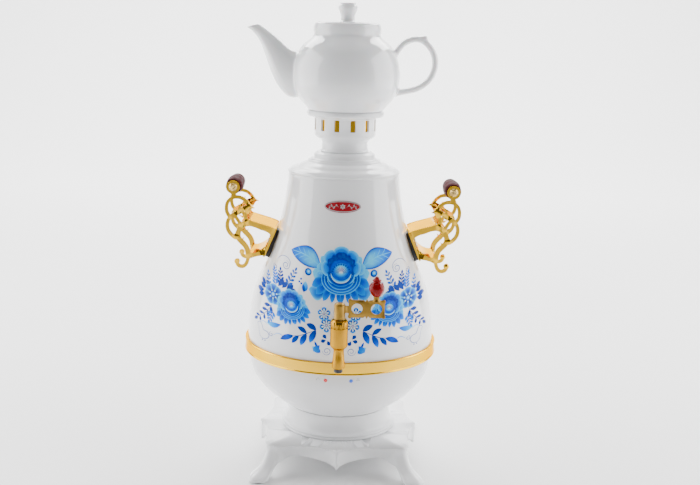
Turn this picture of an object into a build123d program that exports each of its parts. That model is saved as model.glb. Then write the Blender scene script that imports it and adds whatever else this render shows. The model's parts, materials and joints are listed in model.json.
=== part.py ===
from build123d import *
import os
from math import cos, hypot, radians, sin, sqrt

# Electric samovar with a porcelain teapot standing on its crown.
# Millimetres. The origin is on the table, on the turning axis of the body.
# +Z is up, the tap points to -Y, +X is to the right of somebody facing the tap.

# ---------------------------------------------------------------- driving sizes
WALL_STEEL = 1.5          # enamelled body shell
WALL_PLASTIC = 2.5        # bowl, pedestal, lid
WALL_TANK = 0.8           # stainless water tank

FOOT_PAD = 1.5            # rubber pad under each foot
LEG_CENTRE = 83.4         # foot centres, from the axis, along X and along Y
PLATE_LOW, PLATE_TOP = 36.0, 39.0
PLATE_HALF = 77.0         # half width of the plate between corner and cusp
PLATE_CUSP = 88.5         # the pointed middle of each side

BOWL_LOW = 64.0
BOWL_WIDEST = 114.0       # height at which the bowl is widest
BOWL_R = 100.2
JOINT_Z = 134.0           # where bowl and shell meet, behind the band
SHELL_R = 103.0
BAND_LOW, BAND_TOP, BAND_R = 127.6, 140.8, 106.3
SHELL_TOP = 325.5
NECK_R = 50.0             # filling opening
TANK_FLOOR = 104.0

TAP_Y = -140.0
TAP_Z = 181.5             # axis of the tap's shank
PLUG_R = 5.0
RUNNING = 0.05            # radial clearance of a turning fit
FREE = 0.5                # radial clearance of parts that lift off

LID_SEAT = SHELL_TOP      # the samovar lid rests here
CROWN_SEAT = 348.4        # the crown rests on the lid here
POT_SEAT = 392.7          # the teapot rests on the crown here

HANDLE_HALF = 25.0        # middle of each side plate of a handle, along Y
HANDLE_SHEET = 2.4
GRIP_AXIS = (118.5, 309.8)

os.makedirs("parts", exist_ok=True)


# ---------------------------------------------------------------- helpers
def save(name, *shapes):
    """Write one sub-part. Several solids make one node of separate pieces."""
    solids = [s for shape in shapes for s in shape.solids()]
    export_step(Compound(children=solids) if len(solids) > 1 else solids[0], f"parts/{name}.step")


def closed_face(*edges):
    """A face in the XZ plane, from edges drawn as (x, z)."""
    return make_face(Plane.XZ * (Curve() + list(edges)))


def turned(*edges):
    """A solid of revolution about Z from a closed outline drawn as (radius, height)."""
    return revolve(closed_face(*edges), Axis.Z)


def turned_polygon(*points):
    return turned(Polyline(*points, close=True))


def ring(r_in, r_out, z_low, z_top):
    return turned_polygon((r_in, z_low), (r_out, z_low), (r_out, z_top), (r_in, z_top))


def disc(radius, z_low, z_top):
    return Pos(0, 0, (z_low + z_top) / 2) * Cylinder(radius, z_top - z_low)


def rod(start, end, radius):
    """A round bar from start to end."""
    start, end = Vector(*start), Vector(*end)
    return extrude(Plane(start, z_dir=end - start) * Circle(radius), (end - start).length)


def block(x, y, z):
    """A box from (low, high) pairs."""
    size = [high - low for low, high in (x, y, z)]
    return Pos(*((low + high) / 2 for low, high in (x, y, z))) * Box(*size)


def inward(points, wall):
    """The same outline, moved towards the axis by the wall, square to the surface."""
    moved = []
    for i, (r, z) in enumerate(points):
        r0, z0 = points[max(i - 1, 0)]
        r1, z1 = points[min(i + 1, len(points) - 1)]
        length = hypot(r1 - r0, z1 - z0)
        if 0 < i < len(points) - 1:
            moved.append((r - wall * (z1 - z0) / length, z + wall * (r1 - r0) / length))
        else:
            moved.append((r - wall * length / (z1 - z0), z))
    return moved


def shell_between(outer, inner):
    """A turned wall between two smooth outlines."""
    return turned(Spline(*outer), Line(outer[-1], inner[-1]), Spline(*inner[::-1]), Line(inner[0], outer[0]))


def inside_of(outline):
    """The solid space inside a smooth outline."""
    low, high = (0, outline[0][1]), (0, outline[-1][1])
    return turned(Spline(*outline), Line(outline[-1], high), Line(high, low), Line(low, outline[0]))


def mirrored(shape):
    return mirror(shape, Plane.YZ)


# ---------------------------------------------------------------- outlines (radius, height)
def bowl_radius(z):
    """The bowl swells like a flattened ball up to its widest height, then stands upright."""
    depth, power = 68.3, 1.6
    return BOWL_R * (1 - (max(BOWL_WIDEST - z, 0) / depth) ** power) ** (1 / power)


BOWL = [(bowl_radius(z), z) for z in (BOWL_LOW, 67, 72, 80, 90, 102, BOWL_WIDEST, 122, 129)]
SHELL = [
    (SHELL_R, JOINT_Z), (102.5, 155), (100.4, 175), (96.3, 195), (89.1, 215), (80.5, 235), (72.2, 260),
    (65.8, 285), (61.8, 310), (60.5, SHELL_TOP),
]
TANK = [
    (85, TANK_FLOOR), (90, 118), (93.5, 140), (94.4, 158), (93.2, 176), (89.4, 195), (82, 215),
    (73.6, 235), (65.4, 260), (59.2, 285), (55.6, 310), (54.6, 321.5),
]


# ---------------------------------------------------------------- base and bowl
def plate_outline(grow=0.0):
    """Square plate with rounded corners and a pointed middle on each side."""
    half, cusp, corner = PLATE_HALF + grow, PLATE_CUSP + grow, 11.0
    side = [
        Line((-half + corner, -half - 0.6), (-46, -half)),
        Spline((-46, -half), (-24, -half - 2.6), (0, -cusp), tangents=((1, 0), (1, -0.9))),
        Spline((0, -cusp), (24, -half - 2.6), (46, -half), tangents=((1, 0.9), (1, 0))),
        Line((46, -half), (half - corner, -half - 0.6)),
        Spline((half - corner, -half - 0.6), (half - 2.4, -half + 2.4), (half + 0.6, -half + corner),
               tangents=((1, 0), (0, 1))),
    ]
    edges = [Rot(0, 0, 90 * turn) * edge for turn in range(4) for edge in side]
    return make_face(Curve() + edges)


def skirt_gap():
    """What is cut away under the plate, seen from the front: two arches and a pointed drop."""
    half = [
        Spline((0, 15), (5, 19.5), (16, 23), (36, 26), (53, 24), (64.5, 17.4), (71, 6),
               tangents=((0.3, 1), (0.25, -1))),
        Line((71, 6), (72, -1)),
    ]
    edges = half + [mirror(edge, Plane.YZ) for edge in half] + [Line((72, -1), (-72, -1))]
    return make_face(Plane.XZ * (Curve() + edges))


def base_stand():
    plate = extrude(Pos(0, 0, PLATE_LOW) * plate_outline(), PLATE_TOP - PLATE_LOW - 0.7)
    plate += extrude(Pos(0, 0, PLATE_LOW) * plate_outline(-0.6), PLATE_TOP - PLATE_LOW)
    skirt = extrude(plate_outline(-1.0), PLATE_LOW + 0.5) - extrude(plate_outline(-3.6), PLATE_LOW + 0.5)
    gap = extrude(skirt_gap(), 120, both=True)
    skirt = skirt - gap - Rot(0, 0, 90) * gap
    sections = [
        (36.5, 67.0, 20.0), (28, 67.8, 18.5), (18, 71.6, 17.5), (9, 78.6, 19.5), (4, 82.6, 22.5),
        (FOOT_PAD, LEG_CENTRE, 20.5),
    ]
    leg = loft([Pos(at, at, z) * RectangleRounded(size, size, size * 0.36) for z, at, size in sections])
    stand = plate + skirt + [Rot(0, 0, 90 * turn) * leg for turn in range(4)]
    return stand - disc(50, PLATE_LOW - 1, PLATE_TOP + 1) - screw_circle(2.2, PLATE_LOW - 1, PLATE_TOP + 1)


def screw_circle(radius, z_low, z_top, at=55.5):
    return Compound(children=[
        Rot(0, 0, 45 + 90 * turn) * Pos(at, 0, (z_low + z_top) / 2) * Cylinder(radius, z_top - z_low)
        for turn in range(4)
    ])


def pedestal():
    """Turned foot ring with two beads, rising to the bowl."""
    z = PLATE_TOP
    outline = [
        Line((47, z), (62.6, z)),
        ThreePointArc((62.6, z), (64.2, z + 1.6), (62.8, z + 3.1)),
        ThreePointArc((62.8, z + 3.1), (63.6, z + 4.6), (62.0, z + 5.9)),
        ThreePointArc((62.0, z + 5.9), (59.9, z + 7.6), (58.9, z + 10.6)),
        Spline((58.9, z + 10.6), (57.6, z + 17), (56.9, BOWL_LOW)),
        Polyline((56.9, BOWL_LOW), (47, BOWL_LOW), (47, BOWL_LOW - 3), (53, BOWL_LOW - 3), (53, z + 3), (47, z + 3),
                 (47, z)),
    ]
    return turned(*outline) - screw_circle(1.7, z - 1, z + 3.5)


INLET_X, SWITCH_X = -15.0, 19.0     # the mains inlet and the switch, side by side at the back
HOUSING_Z = 87.0                    # their middle height
HOUSING_Y = 98.0                    # flat face that they are set into
INLET_HOLE = (27.4, 20.2)
SWITCH_HOLE = (13.4, 19.6)


def lower_bowl():
    outer = inside_of(BOWL)
    collar = disc(SHELL_R, 129, JOINT_Z)
    housing = block((-34, 34), (55, HOUSING_Y), (74, 100))
    housing = fillet(housing.edges().filter_by(Axis.Y), 4)
    housing = fillet(housing.faces().sort_by(Axis.Y)[-1].edges(), 1.5)
    inner = inside_of(inward(BOWL, WALL_PLASTIC))
    bowl = outer + housing + collar - inner - disc(BOWL_R - WALL_PLASTIC, 128, JOINT_Z + 1)
    bowl -= disc(47, BOWL_LOW - 1, BOWL_LOW + 6)
    for x, (width, height) in ((INLET_X, INLET_HOLE), (SWITCH_X, SWITCH_HOLE)):
        bowl -= block((x - width / 2, x + width / 2), (50, 110), (HOUSING_Z - height / 2, HOUSING_Z + height / 2))
    for x in LAMP_X:
        bowl -= rod((x, -110, LAMP_Z), (x, -90, LAMP_Z), LAMP_R)
    return bowl


LAMP_X = (-13.3, 13.3)
LAMP_Z = 120.2
LAMP_R = 2.0


def lamp(x):
    """Domed window with a light pipe behind it."""
    face_y = -sqrt(BOWL_R ** 2 - x ** 2)
    pipe = rod((x, face_y - 0.2, LAMP_Z), (x, -95.0, LAMP_Z), LAMP_R)
    flange = rod((x, -96.2, LAMP_Z), (x, -95.0, LAMP_Z), LAMP_R + 0.9)
    return fillet(pipe.faces().sort_by(Axis.Y)[0].edges(), 0.3) + flange


def lamp_board():
    board = block((-19, 19), (-95.0, -93.6), (114.5, 126))
    chips = [block((x - 3, x + 3), (-93.6, -92.4), (117, 120)) for x in (-6, 6)]
    return board + chips


def gold_band():
    """Band over the joint, with a rounded rim top and bottom."""
    low, top, r = BAND_LOW, BAND_TOP, SHELL_R + 0.1
    return turned(
        Line((r, low), (BAND_R - 0.9, low)),
        ThreePointArc((BAND_R - 0.9, low), (BAND_R, low + 1.0), (BAND_R - 0.6, low + 2.0)),
        Line((BAND_R - 0.6, low + 2.0), (BAND_R - 0.6, top - 2.0)),
        ThreePointArc((BAND_R - 0.6, top - 2.0), (BAND_R, top - 1.0), (BAND_R - 0.9, top)),
        Line((BAND_R - 0.9, top), (r, top)),
        Line((r, top), (r, low)),
    )


# ---------------------------------------------------------------- shell and tank
def body_shell():
    wall = shell_between(SHELL, inward(SHELL, WALL_STEEL))
    top = ring(NECK_R, SHELL[-1][0] - 0.2, SHELL_TOP - 2, SHELL_TOP)
    body = wall + top - rod((0, -110, TAP_Z), (0, -80, TAP_Z), 6.6)
    for side in (1, -1):
        for y in BRACKET_SCREW_Y:
            hole = screw_hole(y)
            body -= hole if side > 0 else mirrored(hole)
    return body


def inner_tank():
    wall = shell_between(TANK, inward(TANK, WALL_TANK))
    floor = disc(TANK[0][0], TANK_FLOOR - 1, TANK_FLOOR + 0.6)
    return wall + floor - rod((0, -110, TAP_Z), (0, -80, TAP_Z), 6.6)


def tank_seal():
    return ring(NECK_R + 0.2, 57.0, SHELL_TOP - 4, SHELL_TOP - 2)


def heater_element():
    """Tubular heater ring with two cold ends turned down."""
    r, z = 45.0, TANK_FLOOR - 1 - 6 - 3.4
    loop = Pos(0, 0, z) * Torus(r, 3.4)
    ends = [rod((r * cos(a), r * sin(a), z), (r * cos(a), r * sin(a), z - 12), 3.0) for a in (radians(80), radians(100))]
    return loop + ends


# ---------------------------------------------------------------- mains inlet and switch
def socket_block(x, hole, flange, cavity, depth):
    """Flanged insert with a cavity open to the back."""
    width, height = hole[0] - 0.2, hole[1] - 0.2
    half_w, half_h = flange[0] / 2, flange[1] / 2
    insert = block((x - width / 2, x + width / 2), (HOUSING_Y - depth, HOUSING_Y),
                   (HOUSING_Z - height / 2, HOUSING_Z + height / 2))
    rim = block((x - half_w, x + half_w), (HOUSING_Y, HOUSING_Y + 2), (HOUSING_Z - half_h, HOUSING_Z + half_h))
    rim = fillet(rim.edges().filter_by(Axis.Y), 2)
    hollow = block((x - cavity[0] / 2, x + cavity[0] / 2), (HOUSING_Y - depth + 2, HOUSING_Y + 3),
                   (HOUSING_Z - cavity[1] / 2, HOUSING_Z + cavity[1] / 2))
    return insert + rim - hollow


def power_inlet():
    body = socket_block(INLET_X, INLET_HOLE, (31, 24), (24.4, 16.4), 20)
    for x in PIN_X:
        body -= block((x - 1, x + 1), (HOUSING_Y - 25, HOUSING_Y - 15), (PIN_Z - 2, PIN_Z + 2))
    return body


PIN_X = (INLET_X - 7, INLET_X, INLET_X + 7)
PIN_Z = HOUSING_Z


def inlet_pins():
    return [block((x - 1, x + 1), (HOUSING_Y - 23, HOUSING_Y - 2), (PIN_Z - 2, PIN_Z + 2)) for x in PIN_X]


ROCKER_TILT = 8.0
ROCKER_PIVOT = (SWITCH_X, HOUSING_Y - 3.0, HOUSING_Z)


def switch_frame():
    frame = socket_block(SWITCH_X, SWITCH_HOLE, (17, 23), (10.4, 16.8), 15)
    x, y, z = ROCKER_PIVOT
    pins = [rod((x + side * 5.4, y, z), (x + side * 3.4, y, z), 1.2) for side in (1, -1)]
    return frame + pins


def switch_rocker():
    """Shallow V shaped key on two pivots, resting on its off side."""
    x, y, z = ROCKER_PIVOT
    outline = Polyline((-7.4, -2.4), (-7.4, 2.6), (0, 4.2), (7.4, 2.6), (7.4, -2.4), (0, -3.4), close=True)
    key = extrude(Plane((x - 4.8, y, z), x_dir=(0, 0, 1), z_dir=(1, 0, 0)) * make_face(outline), 9.6)
    key -= rod((x - 6, y, z), (x + 6, y, z), 1.2 + RUNNING)
    return key.rotate(Axis((x, y, z), (1, 0, 0)), ROCKER_TILT)


# ---------------------------------------------------------------- side handles (right side; the left is its mirror)
BRACKET_TOP, BRACKET_LOW = (71.6, 263.2), (84.0, 233.6)     # outer face of the strap at the body
BRACKET_SCREW_Y = (-12, 12)


def stroke(points, width, rounded=True):
    """A drawn line of even width along a smooth run of (x, z) points."""
    line = Spline(*points) if len(points) > 2 else Line(*points)
    face = trace(line, width)
    if rounded:
        face += [Pos(*end) * Circle(width / 2) for end in (points[0], points[-1])]
    return face


def leaf(root, tip, width):
    """A pointed tongue from its root to its tip."""
    (x0, z0), (x1, z1) = root, tip
    length = hypot(x1 - x0, z1 - z0)
    dx, dz = -(z1 - z0) / length * width / 2, (x1 - x0) / length * width / 2
    return make_face(Polyline((x0 + dx, z0 + dz), (x0 - dx, z0 - dz), (x1, z1), close=True))


def side_plate(y):
    """Pierced scroll plate: eye for the grip, two loops, the arm, the strut and the hook."""
    x, z = GRIP_AXIS
    scroll = Pos(x, z) * Circle(7.2)
    scroll += make_face(Polyline((115.4, 305), (121.0, 304), (120.2, 300.5), (121.6, 296.5), (110.5, 297.8),
                                 (115.0, 300.6), close=True))
    strokes = [
        ([(99.9, 287.6), (102.9, 292.6), (107.5, 297.0), (113.7, 298.9), (119.9, 297.5), (124.2, 293.2),
          (125.6, 287.4), (124.8, 281.8), (121.6, 277.3)], 3.7),
        ([(100.4, 287.4), (105.4, 287.3), (110.2, 283.6), (115.2, 280.8), (121.2, 276.9)], 5.0),
        ([(101.0, 287.0), (103.8, 284.0), (105.0, 279.6), (104.2, 274.2), (101.4, 270.8)], 3.6),
        ([(121.0, 277.3), (124.3, 271.0), (124.2, 264.4), (121.0, 258.6), (115.6, 254.4)], 4.0),
        ([(116.0, 277.8), (112.6, 273.0), (110.6, 267.9), (112.3, 262.3), (115.8, 257.0)], 3.5),
        ([(102.2, 270.2), (106.6, 268.6), (110.6, 264.6), (112.9, 259.6), (112.2, 254.0), (108.4, 249.6),
          (104.4, 245.0), (102.4, 240.0), (102.0, 235.0)], 5.6),
        ([(102.0, 237.0), (102.0, 232.2), (103.2, 227.4), (106.6, 223.2), (111.0, 223.2), (113.8, 227.4)], 4.0),
        ([(110.6, 264.0), (108.4, 269.6), (105.2, 272.0)], 3.6),
    ]
    for points, width in strokes:
        scroll += stroke(points, width)
    for root, tip, width in (
        ((101.6, 288.4), (94.9, 287.4), 4.6), ((111.6, 284.2), (110.6, 292.6), 4.4),
        ((103.0, 282.0), (98.2, 286.4), 3.6), ((112.4, 268.2), (117.4, 270.4), 2.6),
        ((109.6, 250.4), (106.2, 255.2), 3.4),
    ):
        scroll += leaf(root, tip, width)
    scroll += Pos(113.8, 228.4) * Circle(3.0)
    arm = [
        Spline((71.8, 264.8), (85.5, 269.7), (95.0, 272.4), (102.6, 275.0)),
        Line((102.6, 275.0), (104.6, 267.4)),
        Spline((104.6, 267.4), (97.0, 266.9), (89.0, 263.9), (80.4, 260.6), (76.4, 254.2)),
        Line((76.4, 254.2), (71.8, 264.8)),
    ]
    strut = [
        Spline((78.6, 248.6), (83.0, 244.0), (90.4, 239.9), (97.6, 237.8), (101.8, 239.6)),
        Line((101.8, 239.6), (102.4, 229.6)),
        Spline((102.4, 229.6), (97.4, 232.7), (91.4, 234.5), (84.4, 235.6)),
        Line((84.4, 235.6), (78.6, 248.6)),
    ]
    scroll += make_face(Curve() + arm)
    scroll += make_face(Curve() + strut)
    strap_band = make_face(Polyline(BRACKET_TOP, offset_from(BRACKET_TOP, 2.4), offset_from(BRACKET_LOW, 2.4),
                                    BRACKET_LOW, close=True))
    scroll += strap_band
    scroll -= Pos(x, z) * Circle(2.6)
    return extrude(Plane((0, y + HANDLE_SHEET / 2, 0), x_dir=(1, 0, 0), z_dir=(0, -1, 0)) * scroll, HANDLE_SHEET)


def offset_from(point, distance):
    """A point moved square away from the body, off the strap's slanted line."""
    dx, dz = BRACKET_LOW[0] - BRACKET_TOP[0], BRACKET_LOW[1] - BRACKET_TOP[1]
    length = hypot(dx, dz)
    return (point[0] - dz / length * distance, point[1] + dx / length * distance)


def bracket():
    """Bent strap between the two side plates: along the body, out under the arm and along the strut."""
    reach = HANDLE_HALF - HANDLE_SHEET / 2
    sheet = stroke([offset_from(BRACKET_TOP, 1.2), offset_from(BRACKET_LOW, 1.2)], 2.4, rounded=False)
    sheet += stroke([(72.6, 263.4), (85.7, 268.4), (95.2, 271.2), (100.4, 273.2)], 2.2)
    sheet += stroke([(82.6, 244.6), (90.4, 238.9), (97.4, 236.7), (100.6, 237.4)], 2.2)
    strap = extrude(Plane((0, reach, 0), x_dir=(1, 0, 0), z_dir=(0, -1, 0)) * sheet, 2 * reach)
    for y in BRACKET_SCREW_Y:
        strap -= screw_hole(y)
    return strap


def gasket():
    """Rubber wedge that fills the room between the flat strap and the round body."""
    reach = 19.0
    face = make_face(Polyline(BRACKET_TOP, BRACKET_LOW, offset_from(BRACKET_LOW, -14), offset_from(BRACKET_TOP, -14),
                              close=True))
    wedge = extrude(Plane((0, reach, 0), x_dir=(1, 0, 0), z_dir=(0, -1, 0)) * face, 2 * reach)
    wedge -= inside_of(SHELL)
    for y in BRACKET_SCREW_Y:
        wedge -= screw_hole(y)
    return wedge


def screw_seat(y):
    """Where a screw crosses the outer face of the strap, and the way it points."""
    middle = [(top + low) / 2 for top, low in zip(BRACKET_TOP, BRACKET_LOW)]
    (x0, z0), (x1, z1) = middle, offset_from(middle, 1.0)
    x, z = offset_from(middle, 2.4)
    return Vector(x, y, z), Vector(x1 - x0, 0, z1 - z0)


def screw_hole(y):
    at, out = screw_seat(y)
    return rod(at - out * 20, at + out * 6, 2.1)


def bracket_screws():
    """Pan head screws through strap, gasket and shell."""
    screws = []
    for y in BRACKET_SCREW_Y:
        at, out = screw_seat(y)
        head = rod(at, at + out * 1.9, 3.4)
        head = fillet(head.faces().sort_by(Axis((0, 0, 0), out))[-1].edges(), 1.0)
        slot = Plane(at + out * 1.9, z_dir=out) * Box(6.8, 0.9, 1.4)
        screws.append(head - slot + rod(at - out * 6.0, at + out * 0.5, 2.0))
    return screws


def grip():
    """Turned barrel between the plates, with a bead at each end."""
    reach = HANDLE_HALF - HANDLE_SHEET / 2
    end = [
        Line((2.6, -reach), (7.2, -reach)),
        ThreePointArc((7.2, -reach), (8.3, -reach + 1.5), (7.2, -reach + 3.0)),
        ThreePointArc((7.2, -reach + 3.0), (6.5, -reach + 4.2), (7.6, -reach + 5.4)),
        Spline((7.6, -reach + 5.4), (9.1, -9), (9.6, 0), tangents=((0.6, 1), (0, 1))),
    ]
    edges = end + [mirror(edge, Plane.XZ) for edge in end] + [Line((2.6, -reach), (2.6, reach))]
    face = make_face(Curve() + edges)
    x, z = GRIP_AXIS
    return Pos(x, 0, z) * revolve(face, Axis.Y)


def grip_bolt():
    """Through bolt of the grip: a domed slotted head in front, a domed nut behind."""
    x, z = GRIP_AXIS
    face_y = HANDLE_HALF + HANDLE_SHEET / 2
    bar = rod((x, -face_y - 1.6, z), (x, face_y + 1.6, z), 2.5)
    ends = []
    for side in (1, -1):
        washer = rod((x, side * face_y, z), (x, side * (face_y + 0.8), z), 4.4)
        head = rod((x, side * face_y, z), (x, side * (face_y + 2.4), z), 3.5)
        rim = head.faces().sort_by(Axis.Y)[-1 if side > 0 else 0].edges()
        ends += [washer, fillet(rim, 1.3)]
    slot = Pos(x, -face_y - 2.4, z) * Rot(0, 35, 0) * Box(8, 1.6, 1.0)
    return bar + ends - slot


# ---------------------------------------------------------------- tap
NOZZLE_END = 146.9
OUTLET_R = 3.4
SLEEVE_R = 4.4
SLEEVE_TOP = 151.0


def tap_body():
    """Upright barrel with its shank to the rear and its nozzle below."""
    centre = Pos(0, TAP_Y, 0)
    barrel = centre * turned(
        Polyline((0, NOZZLE_END), (5.3, NOZZLE_END), (6.1, 147.9), (6.3, 149.4)),
        Spline((6.3, 149.4), (6.2, 153.5), (5.7, 159), (5.2, 166.5)),
        Polyline((5.2, 166.5), (6.3, 168.0), (7.8, 169.2), (8.5, 170.4), (8.7, 171.8), (8.7, 189.0), (0, 189.0),
                 (0, NOZZLE_END)),
    )
    shank = rod((0, TAP_Y, TAP_Z), (0, -84, TAP_Z), 6.5)
    collar = rod((0, TAP_Y + 7, TAP_Z), (0, TAP_Y + 14, TAP_Z), 7.6)
    body = barrel + shank + collar
    body -= rod((0, TAP_Y, TAP_Z), (0, -80, TAP_Z), 3.6)
    body -= centre * disc(OUTLET_R, 146, 172)
    body -= centre * disc(SLEEVE_R, 146, SLEEVE_TOP)
    body -= centre * disc(PLUG_R + RUNNING, 171.5, 190)
    body -= centre * disc(6.6, 186, 190)
    return body


def tap_sleeve():
    """Dark outlet sleeve pressed into the end of the nozzle."""
    sleeve = ring(OUTLET_R, SLEEVE_R, 143.0, SLEEVE_TOP)
    rim = sleeve.faces().sort_by(Axis.Z)[0].edges().sort_by(SortBy.LENGTH)[-1]
    return Pos(0, TAP_Y, 0) * chamfer(rim, 0.4)


def tap_bonnet():
    """Notched ring nut that keeps the plug in the barrel."""
    nut = Pos(0, TAP_Y, 0) * turned_polygon((4.9, 189.0), (8.7, 189.0), (8.7, 195.4), (7.2, 197.2), (4.9, 197.2))
    for turn in range(12):
        nut -= Pos(0, TAP_Y, 0) * Rot(0, 0, 30 * turn) * Pos(9.0, 0, 193) * Cylinder(0.8, 9)
    return nut


def tap_plug():
    """Hollow plug with one side port; at rest the port faces away from the shank."""
    plug = disc(PLUG_R, 172.2, 186.4) + disc(6.2, 186.3, 188.6) + disc(4.5, 188.5, 208)
    plug -= disc(3.2, 172, TAP_Z + 2)
    plug -= rod((0, 0, TAP_Z), (-8, 0, TAP_Z), 2.8)
    return Pos(0, TAP_Y, 0) * plug


LEVER_Z = 208.9
LEVER_EYES = (17.1, 36.3)
KNOB_X = 36.0
KNOB_Z = LEVER_Z + 13.2   # the knob stands here, on the lever's foot


def tap_lever():
    """Round hub with a flat pierced wing to the right: two eyes inside scalloped edges."""
    hub = turned(
        Polyline((4.5, 208), (4.5, 198.3), (5.6, 198.3), (5.6, 211.6)),
        Spline((5.6, 211.6), (4.1, 214.0), (0, 214.9), tangents=((0, 1), (-1, 0))),
        Polyline((0, 214.9), (0, 208), (4.5, 208)),
    )
    wing = Pos(8.0, LEVER_Z - 0.9) * Rectangle(6.4, 7)
    for x in LEVER_EYES:
        wing += Pos(x, LEVER_Z) * RectangleRounded(16.6, 17.6, 2.6)
    wing += Pos(26.7, LEVER_Z) * Rectangle(8, 12.5)
    for sign in (1, -1):
        wing += leaf((26.7, LEVER_Z + sign * 4), (26.7, LEVER_Z + sign * 10), 7)
        wing += Pos(10.2, LEVER_Z + sign * 8.0) * Circle(1.9)
        wing += Pos(43.4, LEVER_Z + sign * 7.6) * Circle(1.9)
    for x in LEVER_EYES:
        wing -= Pos(x, LEVER_Z) * Circle(5.5)
    sheet = extrude(Plane((0, 1.1, 0), x_dir=(1, 0, 0), z_dir=(0, -1, 0)) * wing, 2.2)
    foot = Pos(KNOB_X, 0, 0) * turned(
        Line((0, LEVER_Z + 7.8), (4.3, LEVER_Z + 7.8)),
        Spline((4.3, LEVER_Z + 7.8), (3.2, LEVER_Z + 9.8), (2.9, KNOB_Z), tangents=((0, 1), (0, 1))),
        Polyline((2.9, KNOB_Z), (0, KNOB_Z), (0, LEVER_Z + 7.8)),
    )
    return Pos(0, TAP_Y, 0) * (hub + sheet + foot)


def tap_knob():
    """Ball of coloured clear plastic with a small finial, on the end of the lever."""
    z = KNOB_Z
    outline = [
        Line((0, z), (3.6, z)),
        Spline((3.6, z), (6.4, z + 3.6), (7.7, z + 7.8), (6.7, z + 11.8), (4.0, z + 14.2)),
        Polyline((4.0, z + 14.2), (3.7, z + 14.8), (4.5, z + 15.6), (4.3, z + 16.4)),
        Spline((4.3, z + 16.4), (2.6, z + 17.8), (1.8, z + 19.0), (0, z + 20.0), tangents=((-0.4, 1), (-1, 0))),
        Line((0, z + 20.0), (0, z)),
    ]
    return Pos(KNOB_X, TAP_Y, 0) * turned(*outline)


def tap_flange():
    """Round rosette against the shell."""
    y = -SHELL_AT_TAP
    rosette = rod((0, y - 3.4, TAP_Z), (0, y + 3.0, TAP_Z), 8.6)
    rosette = fillet(rosette.faces().sort_by(Axis.Y)[0].edges(), 1.2)
    return rosette - rod((0, y - 9, TAP_Z), (0, y + 9, TAP_Z), 6.6) - inside_of([(r + 1.2, z) for r, z in SHELL])


SHELL_AT_TAP = 99.2      # radius of the shell at the height of the tap


def tap_gasket():
    layer = rod((0, -SHELL_AT_TAP - 4, TAP_Z), (0, -SHELL_AT_TAP + 6, TAP_Z), 8.2)
    layer &= inside_of([(r + 1.2, z) for r, z in SHELL])
    return layer - inside_of(SHELL) - rod((0, -120, TAP_Z), (0, -80, TAP_Z), 6.6)


def tap_nut():
    """Hexagon nut on the shank, inside the tank."""
    nut = extrude(Plane((0, -86, TAP_Z), z_dir=(0, 1, 0)) * RegularPolygon(10, 6), 4.5, both=False)
    return nut - rod((0, -90, TAP_Z), (0, -70, TAP_Z), 6.6)


# ---------------------------------------------------------------- lid and crown
def samovar_lid():
    """Stepped round lid with a steam opening and an upstand that centres the crown."""
    z = LID_SEAT
    outline = [
        Line((NECK_R - FREE - 2, z), (60.2, z)),
        ThreePointArc((60.2, z), (61.0, z + 1.4), (60.0, z + 2.8)),
        Spline((60.0, z + 2.8), (57.4, z + 5.0), (54.0, z + 6.2)),
        Spline((54.0, z + 6.2), (50.0, z + 7.2), (47.2, z + 9.4)),
        Line((47.2, z + 9.4), (43.0, z + 11.2)),
        Spline((43.0, z + 11.2), (40.2, z + 12.4), (39.2, z + 14.0)),
        Line((39.2, z + 14.0), (36.6, z + 14.6)),
        Spline((36.6, z + 14.6), (34.2, z + 16.0), (33.0, z + 20.4), (30.0, z + 22.6), (27.6, CROWN_SEAT),
               tangents=((0.1, 1), (-1, 0))),
        Line((27.6, CROWN_SEAT), (21.0, CROWN_SEAT)),
        Polyline((21.0, CROWN_SEAT), (21.0, CROWN_SEAT + 4), (18.6, CROWN_SEAT + 4), (18.6, CROWN_SEAT - 2.6),
                 (27.0, CROWN_SEAT - 2.6), (30.4, z + 16.4), (34.0, z + 11.6), (40.6, z + 8.4), (46.4, z + 4.4),
                 (NECK_R - FREE - 2, z + 2.8), (NECK_R - FREE - 2, z)),
    ]
    skirt = ring(NECK_R - FREE - 2.2, NECK_R - FREE, z - 9, z + 3)
    return turned(*outline) + skirt


def crown():
    """Collar that carries the teapot, pierced by a row of windows."""
    z = CROWN_SEAT
    outline = [
        Line((22.0, z), (25.6, z)),
        ThreePointArc((25.6, z), (26.4, z + 0.9), (25.2, z + 2.0)),
        Line((25.2, z + 2.0), (24.8, z + 8.8)),
        Spline((24.8, z + 8.8), (26.8, z + 13.2), (31.2, z + 16.0), (33.3, z + 20.6),
               tangents=((0, 1), (0, 1))),
        Line((33.3, z + 20.6), (33.3, z + 36.0)),
        Spline((33.3, z + 36.0), (36.2, z + 37.4), (40.6, z + 38.6)),
        ThreePointArc((40.6, z + 38.6), (41.9, z + 41.2), (40.4, POT_SEAT)),
        Polyline((40.4, POT_SEAT), (30.8, POT_SEAT), (30.8, z + 20.6)),
        Spline((30.8, z + 20.6), (28.6, z + 17.6), (24.4, z + 14.8), (22.2, z + 9.6), (22.0, z)),
    ]
    collar = turned(*outline)
    for turn in range(12):
        window = Pos(32, 0, 378) * Box(12, 5.6, 12.2)
        window = fillet(window.edges().filter_by(Axis.X), 0.8)
        collar -= Rot(0, 0, 15 + 30 * turn) * window
    return collar


def crown_liner():
    """Thin bright sleeve behind the windows."""
    return ring(29.9, 30.7, CROWN_SEAT + 21, POT_SEAT - 0.4)


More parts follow.
